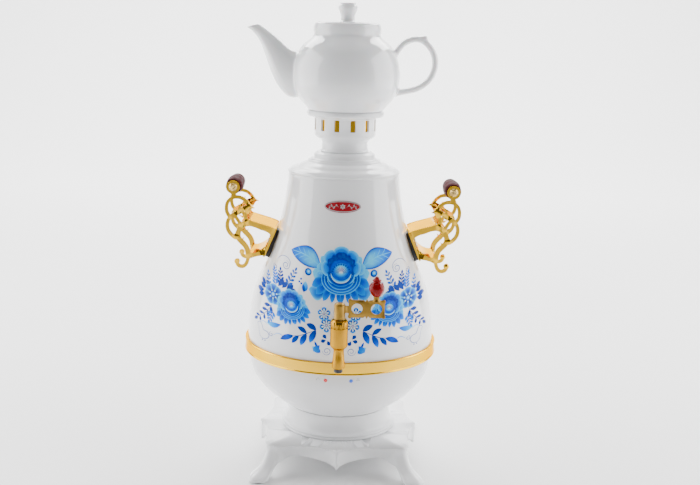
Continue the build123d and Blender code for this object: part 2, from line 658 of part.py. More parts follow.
# ---------------------------------------------------------------- teapot
POT = [
    (40.5, POT_SEAT), (43.0, 396.2), (47.6, 401.4), (52.6, 408), (56.6, 418), (58.0, 430), (57.0, 441), (53.2, 452.6),
    (45.6, 463.4), (37.0, 470.6), (35.6, 472.4),
]
POT_INSIDE = [(38.0, 398.4), (45.6, 404.0), (50.6, 411), (54.2, 421), (54.9, 431), (53.6, 441), (49.6, 451.4),
              (42.6, 460.6), (33.6, 468.8), (31.4, 472.4)]
COLLAR_R, COLLAR_TOP = 35.6, 485.4
SPOUT = [       # middle of each section (x, z), its slope from the upright, half height, half width
    ((-46.0, 430.5), 8, 24.0, 17.0), ((-65.6, 435.2), 12, 22.6, 14.0), ((-73.2, 445.2), 21, 17.8, 11.4),
    ((-85.4, 465.4), 36, 9.0, 7.4), ((-96.6, 477.4), 59, 6.1, 5.5), ((-101.6, 480.6), 75, 7.3, 5.2),
]


def spout_solid(wall):
    """Curved tapering tube of oval sections, thinner by the wall."""
    sections = []
    for (x, z), lean, half_height, half_width in SPOUT:
        forward = (-cos(radians(lean)), 0, sin(radians(lean)))
        plane = Plane((x, 0, z), x_dir=(0, 1, 0), z_dir=forward)
        sections.append(plane * Ellipse(half_width - wall, half_height - wall))
    return loft(sections)


HANDLE_LINE = [(50.0, 450.4), (54.6, 458.4), (60.6, 465.4), (69.0, 469.4), (78.0, 469.7), (86.0, 464.6), (91.6, 457.0),
               (94.4, 448.6), (94.2, 439.8), (90.6, 429.9), (83.1, 422.0), (73.0, 416.9), (62.0, 414.4), (52.0, 411.6)]


def pot_handle():
    """Ear shaped handle of oval section, with a small thumb rest."""
    path = Plane.XZ * Spline(*HANDLE_LINE)
    ear = sweep(Plane(path @ 0, x_dir=(0, 1, 0), z_dir=path % 0) * Ellipse(5.2, 3.5), path)
    rest = Plane((81.0, 0, 470.6), x_dir=(0, 1, 0), z_dir=(0.9, 0, 0.36))
    thumb = loft([rest.offset(-7) * Ellipse(2.0, 1.0), rest * Ellipse(4.6, 3.4), rest.offset(4.6) * Ellipse(3.4, 2.2)])
    return ear + thumb


def teapot_body():
    outer = inside_of(POT)
    cavity = inside_of(POT_INSIDE)
    neck = turned(
        Line((31.4, 472), (COLLAR_R - 0.6, 472)),
        Spline((COLLAR_R - 0.6, 472), (COLLAR_R + 0.3, 474.4), (COLLAR_R + 0.2, 483.0)),
        ThreePointArc((COLLAR_R + 0.2, 483.0), (COLLAR_R - 0.5, 484.8), (COLLAR_R - 2.4, COLLAR_TOP)),
        Polyline((COLLAR_R - 2.4, COLLAR_TOP), (LID_R + FREE, COLLAR_TOP), (LID_R + FREE, LEDGE_Z), (28.0, LEDGE_Z),
                 (28.0, 478.0), (31.4, 474.0), (31.4, 472)),
    )
    pot = outer - cavity + neck + (spout_solid(0) - outer) + (pot_handle() - cavity)
    pot -= spout_solid(2.4) - outer
    pot -= Plane((-101.6, 0, 480.6), x_dir=(0, 1, 0), z_dir=(-cos(radians(75)), 0, sin(radians(75)))) * Cylinder(3.0, 12)
    for row, z in enumerate((420, 427.5, 435, 442.5)):
        for step in (-1, 0, 1):
            y = step * 7.5 + (3.75 if row % 2 else 0)
            if abs(y) < 9:
                pot -= rod((-40, y, z), (-62, y, z), 2.1)
    return pot - disc(36.0, POT_SEAT - 1, POT_SEAT + 2.2)


LID_R = 31.6
LEDGE_Z = 483.0


def teapot_lid():
    """Flat lid sunk in the collar, with a hollow skirt, a steam hole and a knob."""
    top = COLLAR_TOP + 0.4
    lid = turned(
        Line((0, LEDGE_Z), (LID_R, LEDGE_Z)),
        Line((LID_R, LEDGE_Z), (LID_R, top - 0.8)),
        ThreePointArc((LID_R, top - 0.8), (LID_R - 0.4, top), (LID_R - 1.4, top + 0.2)),
        Spline((LID_R - 1.4, top + 0.2), (18, top + 0.9), (8.4, top + 1.4)),
        Spline((8.4, top + 1.4), (7.4, 489.4), (8.0, 494.0), (9.9, 498.8), (10.1, 502.2), (8.2, 505.0), (0, 505.9),
               tangents=((-1, 0.6), (-1, 0))),
        Line((0, 505.9), (0, LEDGE_Z)),
    )
    skirt = ring(24.6, 27.4, 474, LEDGE_Z + 0.5)
    return lid + skirt - Pos(16, 0, 485) * Cylinder(1.3, 12)


# ---------------------------------------------------------------- write every node
save("base_stand", base_stand())
save("foot_pads", *[Pos(x, y, FOOT_PAD / 2) * Cylinder(8.6, FOOT_PAD)
                    for x in (LEG_CENTRE, -LEG_CENTRE) for y in (LEG_CENTRE, -LEG_CENTRE)])
save("pedestal", pedestal())
save("bottom_cover", disc(52.6, BOWL_LOW - 5.2, BOWL_LOW - 3.0) - disc(4, 50, 70))
save("base_screws", *[screw_circle(1.6, PLATE_LOW - 0.2, PLATE_TOP + 3) + screw_circle(3.4, PLATE_LOW - 2, PLATE_LOW)])
save("lower_bowl", lower_bowl())
save("power_lamp", lamp(LAMP_X[0]))
save("warm_lamp", lamp(LAMP_X[1]))
save("lamp_board", lamp_board())
save("gold_band", gold_band())
save("body_shell", body_shell())
save("inner_tank", inner_tank())
save("tank_seal", tank_seal())
save("heater_plate", disc(64, TANK_FLOOR - 7, TANK_FLOOR - 1))
save("heater_element", heater_element())
save("thermostat", disc(8, TANK_FLOOR - 15, TANK_FLOOR - 7))
save("thermal_fuse", rod((-6, -26, TANK_FLOOR - 9.2), (10, -26, TANK_FLOOR - 9.2), 2.2))
save("power_inlet", power_inlet())
save("inlet_pins", *inlet_pins())
save("switch_frame", switch_frame())
save("switch_rocker", switch_rocker())

for side, place in (("right", lambda shape: shape), ("left", mirrored)):
    save(f"{side}_handle_bracket", place(bracket()))
    save(f"{side}_handle_gasket", place(gasket()))
    save(f"{side}_front_plate", place(side_plate(-HANDLE_HALF)))
    save(f"{side}_back_plate", place(side_plate(HANDLE_HALF)))
    save(f"{side}_grip", place(grip()))
    save(f"{side}_grip_bolt", place(grip_bolt()))
    save(f"{side}_bracket_screws", *[place(screw) for screw in bracket_screws()])

save("tap_body", tap_body())
save("tap_sleeve", tap_sleeve())
save("tap_bonnet", tap_bonnet())
save("tap_plug", tap_plug())
save("tap_lever", tap_lever())
save("tap_knob", tap_knob())
save("tap_flange", tap_flange())
save("tap_gasket", tap_gasket())
save("tap_nut", tap_nut())
save("samovar_lid", samovar_lid())
save("lid_seal", ring(NECK_R - FREE - 3.4, NECK_R - FREE - 2.2, LID_SEAT - 8, LID_SEAT - 4))
save("crown", crown())
save("crown_liner", crown_liner())
save("teapot_body", teapot_body())
save("teapot_lid", teapot_lid())

badge_layer = inside_of([(r + 0.9, z) for r, z in SHELL[-4:]]) - inside_of(SHELL[-4:])
badge_shape = extrude(Plane((0, -50, 297.6), x_dir=(1, 0, 0), z_dir=(0, -1, 0)) * Ellipse(19, 6.2), 30)
save("badge", badge_layer & badge_shape)
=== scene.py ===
"""Looks of an electric samovar with a painted body and a porcelain teapot on its crown."""

import bpy
import bmesh
import json
from math import cos, pi, radians, sin, sqrt
from bpy.props import FloatProperty, FloatVectorProperty, IntProperty, PointerProperty
from mathutils import Matrix, Vector


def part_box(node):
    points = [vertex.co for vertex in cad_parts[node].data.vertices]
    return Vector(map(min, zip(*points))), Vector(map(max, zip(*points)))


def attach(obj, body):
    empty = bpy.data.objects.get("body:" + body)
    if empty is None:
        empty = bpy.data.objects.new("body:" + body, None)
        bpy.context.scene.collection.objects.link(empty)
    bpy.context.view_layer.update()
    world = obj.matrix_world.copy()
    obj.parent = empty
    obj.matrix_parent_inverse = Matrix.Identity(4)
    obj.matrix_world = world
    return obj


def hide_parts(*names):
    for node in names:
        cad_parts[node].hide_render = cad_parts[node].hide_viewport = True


bl_info = {
    "name": "Painted samovar",
    "version": (1, 0, 0),
    "blender": (4, 5, 0),
    "location": "3D View > Sidebar > Samovar",
    "description": "Builds the finished surfaces of a samovar and its teapot around the packed model",
    "category": "Object",
}

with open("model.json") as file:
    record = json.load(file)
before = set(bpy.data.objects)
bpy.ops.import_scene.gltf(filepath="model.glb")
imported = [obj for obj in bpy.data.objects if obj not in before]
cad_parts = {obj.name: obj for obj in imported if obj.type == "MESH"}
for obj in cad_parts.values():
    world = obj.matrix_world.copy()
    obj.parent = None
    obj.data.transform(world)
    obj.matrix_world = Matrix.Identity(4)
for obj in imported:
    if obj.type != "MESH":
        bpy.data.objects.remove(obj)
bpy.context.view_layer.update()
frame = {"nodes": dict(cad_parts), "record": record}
MM = 0.001
NODE_BODY = {node: body for body, nodes in frame["record"]["behaviour"]["bodies"].items() for node in nodes}


# ---------------------------------------------------------------- properties
def colour(name, description, rgb):
    return FloatVectorProperty(
        name=name, description=description, default=rgb, subtype="COLOR", size=3, min=0, max=1)


def length(name, description, mm):
    return FloatProperty(
        name=name, description=description, default=mm * MM, unit="LENGTH", min=0, precision=5)


def power(name, description, watts):
    return FloatProperty(name=name, description=description, default=watts, unit="POWER", min=0)


class FinishColours(bpy.types.PropertyGroup):
    """Colours of every finish on the samovar."""

    enamel: colour("Enamel", "White of the body, bowl and stand", (0.86, 0.865, 0.88))
    china: colour("Porcelain", "White of the teapot", (0.88, 0.885, 0.9))
    gold: colour("Polished gold", "Handles and band", (0.86, 0.5, 0.03))
    bronze: colour("Tap metal", "Barrel and nozzle of the tap", (0.5, 0.25, 0.02))
    dull_gold: colour("Lever metal", "Brushed wing of the tap", (0.36, 0.21, 0.04))
    cobalt: colour("Cobalt", "Darkest blue of the painting", (0.0, 0.008, 0.26))
    blue: colour("Blue", "Middle blue of the painting", (0.0, 0.05, 0.62))
    sky: colour("Sky blue", "Light blue of the painting", (0.0, 0.27, 0.92))
    mist: colour("Mist", "Palest blue of the painting", (0.12, 0.68, 0.98))
    knob: colour("Knob", "Tap knob", (0.22, 0.0, 0.001))
    grip: colour("Grip", "Turned handle grips", (0.06, 0.003, 0.006))


class PaintSizes(bpy.types.PropertyGroup):
    """How the painting lies on the body."""

    lift: length("Lift", "Height of the first coat above the enamel", 0.05)
    coat: length("Coat", "Height of each further coat", 0.03)
    rose: length("Middle rose", "Half width of the middle rose's cup", 21.5)
    side_rose: length("Side roses", "Half width of the side roses' cups", 13.6)


class StageLights(bpy.types.PropertyGroup):
    """Strengths of the studio lights."""

    world: FloatProperty(name="Room", description="Brightness of the white room", default=0.27, min=0)
    shade: FloatProperty(
        name="Shade", description="How much darker the room is before the object", default=0.45, min=0, max=1)
    sides: power("Side panels", "Power of each side panel", 27.0)
    top: power("Top panel", "Power of the panel above", 2.5)
    behind: power("Backdrop panel", "Power of the panel over the backdrop", 330.0)


class TurnedPieces(bpy.types.PropertyGroup):
    """How finely the turned pieces are made."""

    segments: IntProperty(name="Segments", description="Faces around a turned piece", default=192, min=32)


def looks():
    return bpy.context.scene.samovar_colours


# ---------------------------------------------------------------- shader node groups
def new_group(name, inputs, outputs):
    """An empty node group with named sockets, given as (kind, name, default)."""
    group = bpy.data.node_groups.new(name, "ShaderNodeTree")
    for kind, label, default in inputs:
        socket = group.interface.new_socket(name=label, in_out="INPUT", socket_type=f"NodeSocket{kind}")
        if default is not None:
            socket.default_value = default
    for kind, label in outputs:
        group.interface.new_socket(name=label, in_out="OUTPUT", socket_type=f"NodeSocket{kind}")
    return group, group.nodes.new("NodeGroupInput"), group.nodes.new("NodeGroupOutput")


def colour_mix(nodes):
    """A colour mixing node with its share, its two colours and its result."""
    node = nodes.new("ShaderNodeMix")
    node.data_type = "RGBA"
    found = {socket.identifier: socket for socket in (*node.inputs, *node.outputs)}
    return tuple(found[key] for key in ("Factor_Float", "A_Color", "B_Color", "Result_Color"))


def uneven_tone_group():
    """Colour that drifts softly towards a second colour."""
    group, given, out = new_group(
        "Uneven tone",
        [("Vector", "Vector", None), ("Color", "Clean", (1, 1, 1, 1)),
         ("Color", "Stained", (0.8, 0.8, 0.8, 1)), ("Float", "Scale", 20.0), ("Float", "Amount", 0.3)],
        [("Color", "Color")],
    )
    noise = group.nodes.new("ShaderNodeTexNoise")
    noise.inputs["Detail"].default_value = 4.0
    shape = group.nodes.new("ShaderNodeMapRange")
    shape.inputs["From Min"].default_value = 0.42
    shape.inputs["From Max"].default_value = 0.72
    share = group.nodes.new("ShaderNodeMath")
    share.operation = "MULTIPLY"
    amount, clean, stained, result = colour_mix(group.nodes)
    links = group.links
    links.new(given.outputs["Vector"], noise.inputs["Vector"])
    links.new(given.outputs["Scale"], noise.inputs["Scale"])
    links.new(noise.outputs["Fac"], shape.inputs["Value"])
    links.new(shape.outputs["Result"], share.inputs[0])
    links.new(given.outputs["Amount"], share.inputs[1])
    links.new(share.outputs["Value"], amount)
    links.new(given.outputs["Clean"], clean)
    links.new(given.outputs["Stained"], stained)
    links.new(result, out.inputs["Color"])
    return group


def handled_gloss_group():
    """Roughness between two values: broad wiped patches with fine hairlines in them."""
    group, given, out = new_group(
        "Handled gloss",
        [("Vector", "Vector", None), ("Float", "Polished", 0.05), ("Float", "Rubbed", 0.2),
         ("Float", "Scale", 18.0)],
        [("Float", "Roughness")],
    )
    patches = group.nodes.new("ShaderNodeTexNoise")
    patches.inputs["Detail"].default_value = 5.0
    stretch = group.nodes.new("ShaderNodeVectorMath")
    stretch.operation = "MULTIPLY"
    stretch.inputs[1].default_value = (1.0, 1.0, 9.0)
    hairs = group.nodes.new("ShaderNodeTexNoise")
    hairs.inputs["Scale"].default_value = 260.0
    blend = group.nodes.new("ShaderNodeMath")
    blend.operation = "MULTIPLY"
    spread = group.nodes.new("ShaderNodeMapRange")
    spread.inputs["From Min"].default_value = 0.16
    spread.inputs["From Max"].default_value = 0.42
    links = group.links
    links.new(given.outputs["Vector"], patches.inputs["Vector"])
    links.new(given.outputs["Scale"], patches.inputs["Scale"])
    links.new(given.outputs["Vector"], stretch.inputs[0])
    links.new(stretch.outputs["Vector"], hairs.inputs["Vector"])
    links.new(patches.outputs["Fac"], blend.inputs[0])
    links.new(hairs.outputs["Fac"], blend.inputs[1])
    links.new(blend.outputs["Value"], spread.inputs["Value"])
    links.new(given.outputs["Polished"], spread.inputs["To Min"])
    links.new(given.outputs["Rubbed"], spread.inputs["To Max"])
    links.new(spread.outputs["Result"], out.inputs["Roughness"])
    return group


def fine_relief_group():
    """Height of a skin that is not quite smooth: glaze ripple, orange peel or cast grain."""
    group, given, out = new_group(
        "Fine relief",
        [("Vector", "Vector", None), ("Float", "Scale", 300.0), ("Float", "Grain", 0.2)],
        [("Float", "Height")],
    )
    swell = group.nodes.new("ShaderNodeTexNoise")
    swell.inputs["Detail"].default_value = 2.0
    finer = group.nodes.new("ShaderNodeMath")
    finer.operation = "MULTIPLY"
    finer.inputs[1].default_value = 7.0
    grain = group.nodes.new("ShaderNodeTexNoise")
    weigh = group.nodes.new("ShaderNodeMath")
    weigh.operation = "MULTIPLY_ADD"
    links = group.links
    links.new(given.outputs["Vector"], swell.inputs["Vector"])
    links.new(given.outputs["Scale"], swell.inputs["Scale"])
    links.new(given.outputs["Scale"], finer.inputs[0])
    links.new(given.outputs["Vector"], grain.inputs["Vector"])
    links.new(finer.outputs["Value"], grain.inputs["Scale"])
    links.new(grain.outputs["Fac"], weigh.inputs[0])
    links.new(given.outputs["Grain"], weigh.inputs[1])
    links.new(swell.outputs["Fac"], weigh.inputs[2])
    links.new(weigh.outputs["Value"], out.inputs["Height"])
    return group


def shared(name, build):
    """A node group by name, built the first time it is asked for."""
    return bpy.data.node_groups.get(name) or build()


# ---------------------------------------------------------------- materials
def rgba(rgb):
    return (*rgb, 1.0)


class Finish:
    """A Principled material that grows by naming what its surface does."""

    def __init__(self, name, **sockets):
        self.material = bpy.data.materials.new(name)
        self.material.use_nodes = True
        tree = self.material.node_tree
        self.nodes, self.links = tree.nodes, tree.links
        self.shader = self.nodes["Principled BSDF"]
        for socket, value in sockets.items():
            self.shader.inputs[socket.replace("_", " ")].default_value = value
        self.place = self.nodes.new("ShaderNodeTexCoord").outputs["Object"]

    def group(self, name, build, **values):
        node = self.nodes.new("ShaderNodeGroup")
        node.node_tree = shared(name, build)
        for socket, value in values.items():
            node.inputs[socket].default_value = value
        self.links.new(self.place, node.inputs["Vector"])
        return node

    def tone(self, clean, stained, scale, amount):
        node = self.group("Uneven tone", uneven_tone_group, Clean=rgba(clean), Stained=rgba(stained),
                          Scale=scale, Amount=amount)
        self.links.new(node.outputs["Color"], self.shader.inputs["Base Color"])
        return self

    def gloss(self, polished, rubbed, scale):
        node = self.group("Handled gloss", handled_gloss_group, Polished=polished, Rubbed=rubbed, Scale=scale)
        self.links.new(node.outputs["Roughness"], self.shader.inputs["Roughness"])
        return self

    def relief(self, scale, grain, depth, rounding=0.0):
        """Bump of the given depth in mm; rounding softens sharp edges by that many mm."""
        node = self.group("Fine relief", fine_relief_group, Scale=scale, Grain=grain)
        bump = self.nodes.new("ShaderNodeBump")
        bump.inputs["Distance"].default_value = depth * MM
        bump.inputs["Strength"].default_value = 1.0
        self.links.new(node.outputs["Height"], bump.inputs["Height"])
        if rounding:
            edge = self.nodes.new("ShaderNodeBevel")
            edge.inputs["Radius"].default_value = rounding * MM
            self.links.new(edge.outputs["Normal"], bump.inputs["Normal"])
        self.links.new(bump.outputs["Normal"], self.shader.inputs["Normal"])
        return self


def darker(rgb, share):
    return tuple(channel * share for channel in rgb)


def enamel():
    c = looks().enamel
    return (Finish("white_enamel", Coat_Weight=0.7, Coat_Roughness=0.03, Specular_IOR_Level=0.55)
            .tone(c, darker(c, 0.95), 9, 0.6).gloss(0.06, 0.13, 14).relief(240, 0.05, 0.012).material)


def moulded_white():
    c = looks().enamel
    return (Finish("white_moulding", Coat_Weight=0.45, Coat_Roughness=0.05)
            .tone(c, darker(c, 0.94), 12, 0.6).gloss(0.1, 0.2, 20)
            .relief(420, 0.2, 0.015, rounding=0.5).material)


def porcelain():
    c = looks().china
    return (Finish("glazed_porcelain", Coat_Weight=1.0, Coat_Roughness=0.02, Subsurface_Weight=0.12,
                   Subsurface_Scale=0.004)
            .tone(c, (0.83, 0.84, 0.86), 10, 0.5).gloss(0.05, 0.1, 12)
            .relief(120, 0.02, 0.03, rounding=0.8).material)


GOLD_EDGE = (1.0, 0.66, 0.16, 1.0)


def polished_gold():
    c = looks().gold
    return (Finish("polished_gold", Metallic=1.0, Specular_Tint=GOLD_EDGE)
            .tone(c, darker(c, 0.75), 45, 0.55).gloss(0.07, 0.19, 40)
            .relief(260, 0.25, 0.02, rounding=0.45).material)


def band_gold():
    c = looks().gold
    return (Finish("band_gold", Metallic=1.0, Specular_Tint=GOLD_EDGE)
            .tone(c, darker(c, 0.8), 30, 0.4).gloss(0.08, 0.17, 30).relief(150, 0.3, 0.012).material)


def tap_metal():
    c = looks().bronze
    return (Finish("tap_metal", Metallic=1.0, Specular_Tint=GOLD_EDGE)
            .tone(c, darker(c, 0.6), 60, 0.6).gloss(0.07, 0.2, 60)
            .relief(300, 0.2, 0.015, rounding=0.35).material)


def lever_metal():
    c = looks().dull_gold
    return (Finish("lever_metal", Metallic=1.0)
            .tone(c, darker(c, 0.6), 90, 0.8).gloss(0.34, 0.55, 90)
            .relief(700, 0.6, 0.03, rounding=0.3).material)


def knob_plastic():
    c = looks().knob
    return (Finish("knob_plastic", Coat_Weight=0.15, Coat_Roughness=0.02, Specular_IOR_Level=0.15)
            .tone(c, darker(c, 0.4), 60, 0.7).gloss(0.04, 0.1, 30).relief(200, 0.1, 0.02).material)


def lacquered_grip():
    """Dark red lacquer over turned wood: long pores along the grip."""
    finish = Finish("lacquered_grip", Specular_IOR_Level=0.03)
    stretch = finish.nodes.new("ShaderNodeMapping")
    stretch.inputs["Scale"].default_value = (6.0, 1.0, 6.0)
    finish.links.new(finish.place, stretch.inputs["Vector"])
    finish.place = stretch.outputs["Vector"]
    c = looks().grip
    return finish.tone(c, darker(c, 0.35), 60, 0.9).gloss(0.5, 0.65, 50).relief(180, 0.5, 0.04).material


def plain(name, rgb, polished, rubbed, metallic, scale, depth=0.02):
    """Rubber, steel, plastics and the like, each with its own tone, gloss and grain."""
    return (Finish(name, Metallic=metallic)
            .tone(rgb, darker(rgb, 0.7), scale, 0.6).gloss(polished, rubbed, scale)
            .relief(scale * 8, 0.5, depth, rounding=0.3).material)


def lens(name, rgb):
    return (Finish(name, Coat_Weight=1.0, Emission_Color=rgba(rgb), Emission_Strength=0.25)
            .tone(rgb, darker(rgb, 0.5), 700, 0.8).gloss(0.05, 0.12, 200).relief(900, 0.2, 0.02).material)


def blue_paint():
    """Painted blues read from the strokes, with the streaks of the brush along each stroke."""
    finish = Finish("blue_painting", Specular_IOR_Level=0.07)
    paint = finish.nodes.new("ShaderNodeAttribute")
    paint.attribute_name = "Paint"
    stroke = finish.nodes.new("ShaderNodeUVMap")
    stroke.uv_map = "Stroke"
    stretch = finish.nodes.new("ShaderNodeMapping")
    stretch.inputs["Scale"].default_value = (7.0, 1.2, 1.0)
    streaks = finish.nodes.new("ShaderNodeTexNoise")
    streaks.inputs["Scale"].default_value = 3.0
    streaks.inputs["Detail"].default_value = 3.0
    soften = finish.nodes.new("ShaderNodeMapRange")
    soften.inputs["From Min"].default_value = 0.35
    soften.inputs["From Max"].default_value = 0.75
    soften.inputs["To Max"].default_value = 0.3
    amount, painted, streaked, result = colour_mix(finish.nodes)
    streaked.default_value = rgba(looks().sky)
    links = finish.links
    links.new(stroke.outputs["UV"], stretch.inputs["Vector"])
    links.new(stretch.outputs["Vector"], streaks.inputs["Vector"])
    links.new(streaks.outputs["Fac"], soften.inputs["Value"])
    links.new(soften.outputs["Result"], amount)
    links.new(paint.outputs["Color"], painted)
    links.new(result, finish.shader.inputs["Base Color"])
    return finish.gloss(0.06, 0.15, 30).material


PLAIN = {
    "screw_brass": ("screw_brass", (0.8, 0.56, 0.2), 0.12, 0.3, 1.0, 200),
    "steel": ("zinc_steel", (0.6, 0.6, 0.62), 0.2, 0.4, 1.0, 150),
    "tank_steel": ("tank_steel", (0.68, 0.68, 0.7), 0.16, 0.34, 1.0, 40),
    "cast_aluminium": ("cast_aluminium", (0.6, 0.6, 0.62), 0.35, 0.6, 1.0, 120, 0.05),
    "black_rubber": ("black_rubber", (0.012, 0.012, 0.013), 0.45, 0.7, 0.0, 90, 0.04),
    "black_plastic": ("black_plastic", (0.018, 0.018, 0.02), 0.3, 0.5, 0.0, 110, 0.03),
    "silicone": ("silicone", (0.72, 0.72, 0.69), 0.35, 0.5, 0.0, 80),
    "board": ("circuit_board", (0.01, 0.14, 0.05), 0.25, 0.45, 0.0, 400),
    "badge_red": ("badge_red", (0.32, 0.004, 0.012), 0.08, 0.16, 0.0, 120, 0.01),
    "badge_silver": ("badge_silver", (0.9, 0.9, 0.92), 0.12, 0.25, 0.6, 200, 0.01),
    "mark_grey": ("mark_grey", (0.2, 0.21, 0.25), 0.3, 0.45, 0.0, 200, 0.005),
}
LENSES = {"red_lens": (0.75, 0.01, 0.01), "blue_lens": (0.02, 0.12, 0.75)}
SPECIAL = {make.__name__: make for make in (
    enamel, moulded_white, porcelain, polished_gold, band_gold, tap_metal, lever_metal, knob_plastic,
    lacquered_grip, blue_paint,
)}
_made = {}


def material(name):
    """A material by its finish's name, made the first time it is asked for."""
    if name not in _made:
        if name in PLAIN:
            _made[name] = plain(*PLAIN[name])
        elif name in LENSES:
            _made[name] = lens(name, LENSES[name])
        else:
            _made[name] = SPECIAL[name]()
    return _made[name]


# ---------------------------------------------------------------- making pieces
def finish_piece(name, bm, body, finishes, replaces=(), crease=38.0, outward=True):
    """Turns a bmesh into a smooth shaded piece that rides on a body."""
    if outward:
        bmesh.ops.recalc_face_normals(bm, faces=bm.faces)
    mesh = bpy.data.meshes.new(name)
    bm.to_mesh(mesh)
    bm.free()
    mesh.shade_smooth()
    mesh.set_sharp_from_angle(angle=radians(crease))
    piece = bpy.data.objects.new(name, mesh)
    bpy.context.scene.collection.objects.link(piece)
    for finish in [finishes] if isinstance(finishes, str) else finishes:
        mesh.materials.append(material(finish))
    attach(piece, body)
    if replaces:
        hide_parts(*replaces)
    return piece


def refined(node, finish, crease=34.0):
    """A joined, smooth shaded copy of a CAD node that stands in its place."""
    bm = bmesh.new()
    bm.from_mesh(frame["nodes"][node].data)
    bmesh.ops.remove_doubles(bm, verts=bm.verts, dist=2e-6)
    bmesh.ops.dissolve_degenerate(bm, dist=1e-7, edges=bm.edges)
    return finish_piece(f"{node}_finished", bm, NODE_BODY[node], finish, (node,), crease)


def smooth_run(points, steps):
    """Points of a smooth line through the given ones (Catmull-Rom)."""
    ends = [points[0], *points, points[-1]]
    run = []
    for before, start, end, after in zip(ends, ends[1:], ends[2:], ends[3:]):
        for i in range(steps):
            t = i / steps
            weights = (
                -t + 2 * t * t - t ** 3,
                2 - 5 * t * t + 3 * t ** 3,
                t + 4 * t * t - 3 * t ** 3,
                t ** 3 - t * t,
            )
            near = zip(before, start, end, after)
            run.append(tuple(sum(w * v for w, v in zip(weights, values)) / 2 for values in near))
    return run + [points[-1]]


def spin_outline(bm, outline, segments, centre=(0, 0)):
    """Turns a line of (radius, height) in mm about the upright axis through centre."""
    x, y = centre
    verts = [bm.verts.new(((x + r) * MM, y * MM, z * MM)) for r, z in outline]
    edges = [bm.edges.new(pair) for pair in zip(verts, verts[1:])]
    bmesh.ops.spin(bm, geom=verts + edges, cent=(x * MM, y * MM, 0), axis=(0, 0, 1), angle=2 * pi,
                   steps=segments, use_merge=True)
    bmesh.ops.remove_doubles(bm, verts=bm.verts, dist=1e-6)


# ---------------------------------------------------------------- body of revolution
JOINT_Z, SHELL_TOP = (corner.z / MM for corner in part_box("body_shell"))
SHELL_SHAPE = [
    (103.0, JOINT_Z), (102.5, 155), (100.4, 175), (96.3, 195), (89.1, 215), (80.5, 235), (72.2, 260),
    (65.8, 285), (61.8, 310), (60.5, SHELL_TOP),
]
SHELL_LINE = smooth_run(SHELL_SHAPE, 6)
WALL = 1.5
NECK_R = 50.0  # opening under the lid
RIM_ROUND = 0.5
RIM_THICK = 2.0
BOWL_R = 100.2
BOWL_TOP = 114.0
BOWL_DEPTH = 68.3
BOWL_FULLNESS = 1.6
BAND_RIM = 0.9  # radius of the band's two rounded rims
BAND_DEPTH = 3.1


def shell_radius(z):
    """Radius of the body, or below it of the bowl, at a height, in mm."""
    if z < JOINT_Z - 4:
        down = max(BOWL_TOP - z, 0) / BOWL_DEPTH
        return BOWL_R * (1 - down ** BOWL_FULLNESS) ** (1 / BOWL_FULLNESS)
    for (r0, z0), (r1, z1) in zip(SHELL_LINE, SHELL_LINE[1:]):
        if z0 <= z <= z1:
            return r0 + (r1 - r0) * (z - z0) / (z1 - z0)
    return SHELL_LINE[0][0] if z < SHELL_TOP else SHELL_LINE[-1][0]


def on_body(x, z, lift):
    """The point of the body's front seen at (x, z) mm, raised by lift mm, in metres."""
    r = shell_radius(z)
    x = max(-0.995 * r, min(0.995 * r, x))
    slope = (shell_radius(z - 1) - shell_radius(z + 1)) / 2
    tilt = sqrt(1 + slope * slope)
    y = -sqrt(r * r - x * x)
    out = Vector((x / r / tilt, y / r / tilt, slope / tilt))
    return (Vector((x, y, z)) + out * lift) * MM


class SAMOVAR_OT_shell(bpy.types.Operator):
    """Spins the enamelled body with its rolled rim"""

    bl_idname = "samovar.shell"
    bl_label = "Body shell"

    def execute(self, context):
        outer = SHELL_LINE[:-1]
        top_r = SHELL_SHAPE[-1][0]
        rim = [
            (top_r - 0.1, SHELL_TOP - RIM_ROUND), (top_r - RIM_ROUND, SHELL_TOP),
            (NECK_R + 0.6, SHELL_TOP), (NECK_R, SHELL_TOP - RIM_ROUND),
            (NECK_R, SHELL_TOP - 1.6), (NECK_R + 0.4, SHELL_TOP - RIM_THICK),
            (top_r - 1.7, SHELL_TOP - RIM_THICK),
        ]
        inner = [(r - WALL, z) for r, z in reversed(outer[:-2])]
        bm = bmesh.new()
        line = outer + rim + inner
        spin_outline(bm, line + [line[0]], context.scene.samovar_turning.segments)
        finish_piece("enamelled_shell", bm, NODE_BODY["body_shell"], "enamel",
                     ("body_shell",), crease=50)
        return {"FINISHED"}


class SAMOVAR_OT_band(bpy.types.Operator):
    """Spins the gold band with its two rounded rims"""

    bl_idname = "samovar.band"
    bl_label = "Gold band"

    def execute(self, context):
        low, high = (corner.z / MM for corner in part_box("gold_band"))
        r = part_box("gold_band")[1].x / MM
        quarter = [pi / 6 * i for i in range(1, 6)]
        rim_r = r - BAND_RIM
        outline = [(r - BAND_DEPTH, low), (rim_r, low)]
        outline += [(rim_r + BAND_RIM * sin(a), low + BAND_RIM - BAND_RIM * cos(a)) for a in quarter]
        for z in (low + 1.9, low + 2.3, high - 2.3, high - 1.9):
            outline.append((r - (0.5 if low + 2 < z < high - 2 else 0.55), z))
        outline += [(rim_r + BAND_RIM * cos(a), high - BAND_RIM + BAND_RIM * sin(a)) for a in quarter]
        outline += [(rim_r, high), (r - BAND_DEPTH, high), (r - BAND_DEPTH, low)]
        bm = bmesh.new()
        spin_outline(bm, outline, context.scene.samovar_turning.segments)
        finish_piece("rounded_band", bm, NODE_BODY["gold_band"], "band_gold",
                     ("gold_band",))
        return {"FINISHED"}


# ---------------------------------------------------------------- painting
def mixed(colours, t):
    """Colour at t (0 to 1) along a list of colours."""
    t = max(0.0, min(0.9999, t)) * (len(colours) - 1)
    i = int(t)
    return tuple(a + (b - a) * (t - i) for a, b in zip(colours[i], colours[i + 1]))


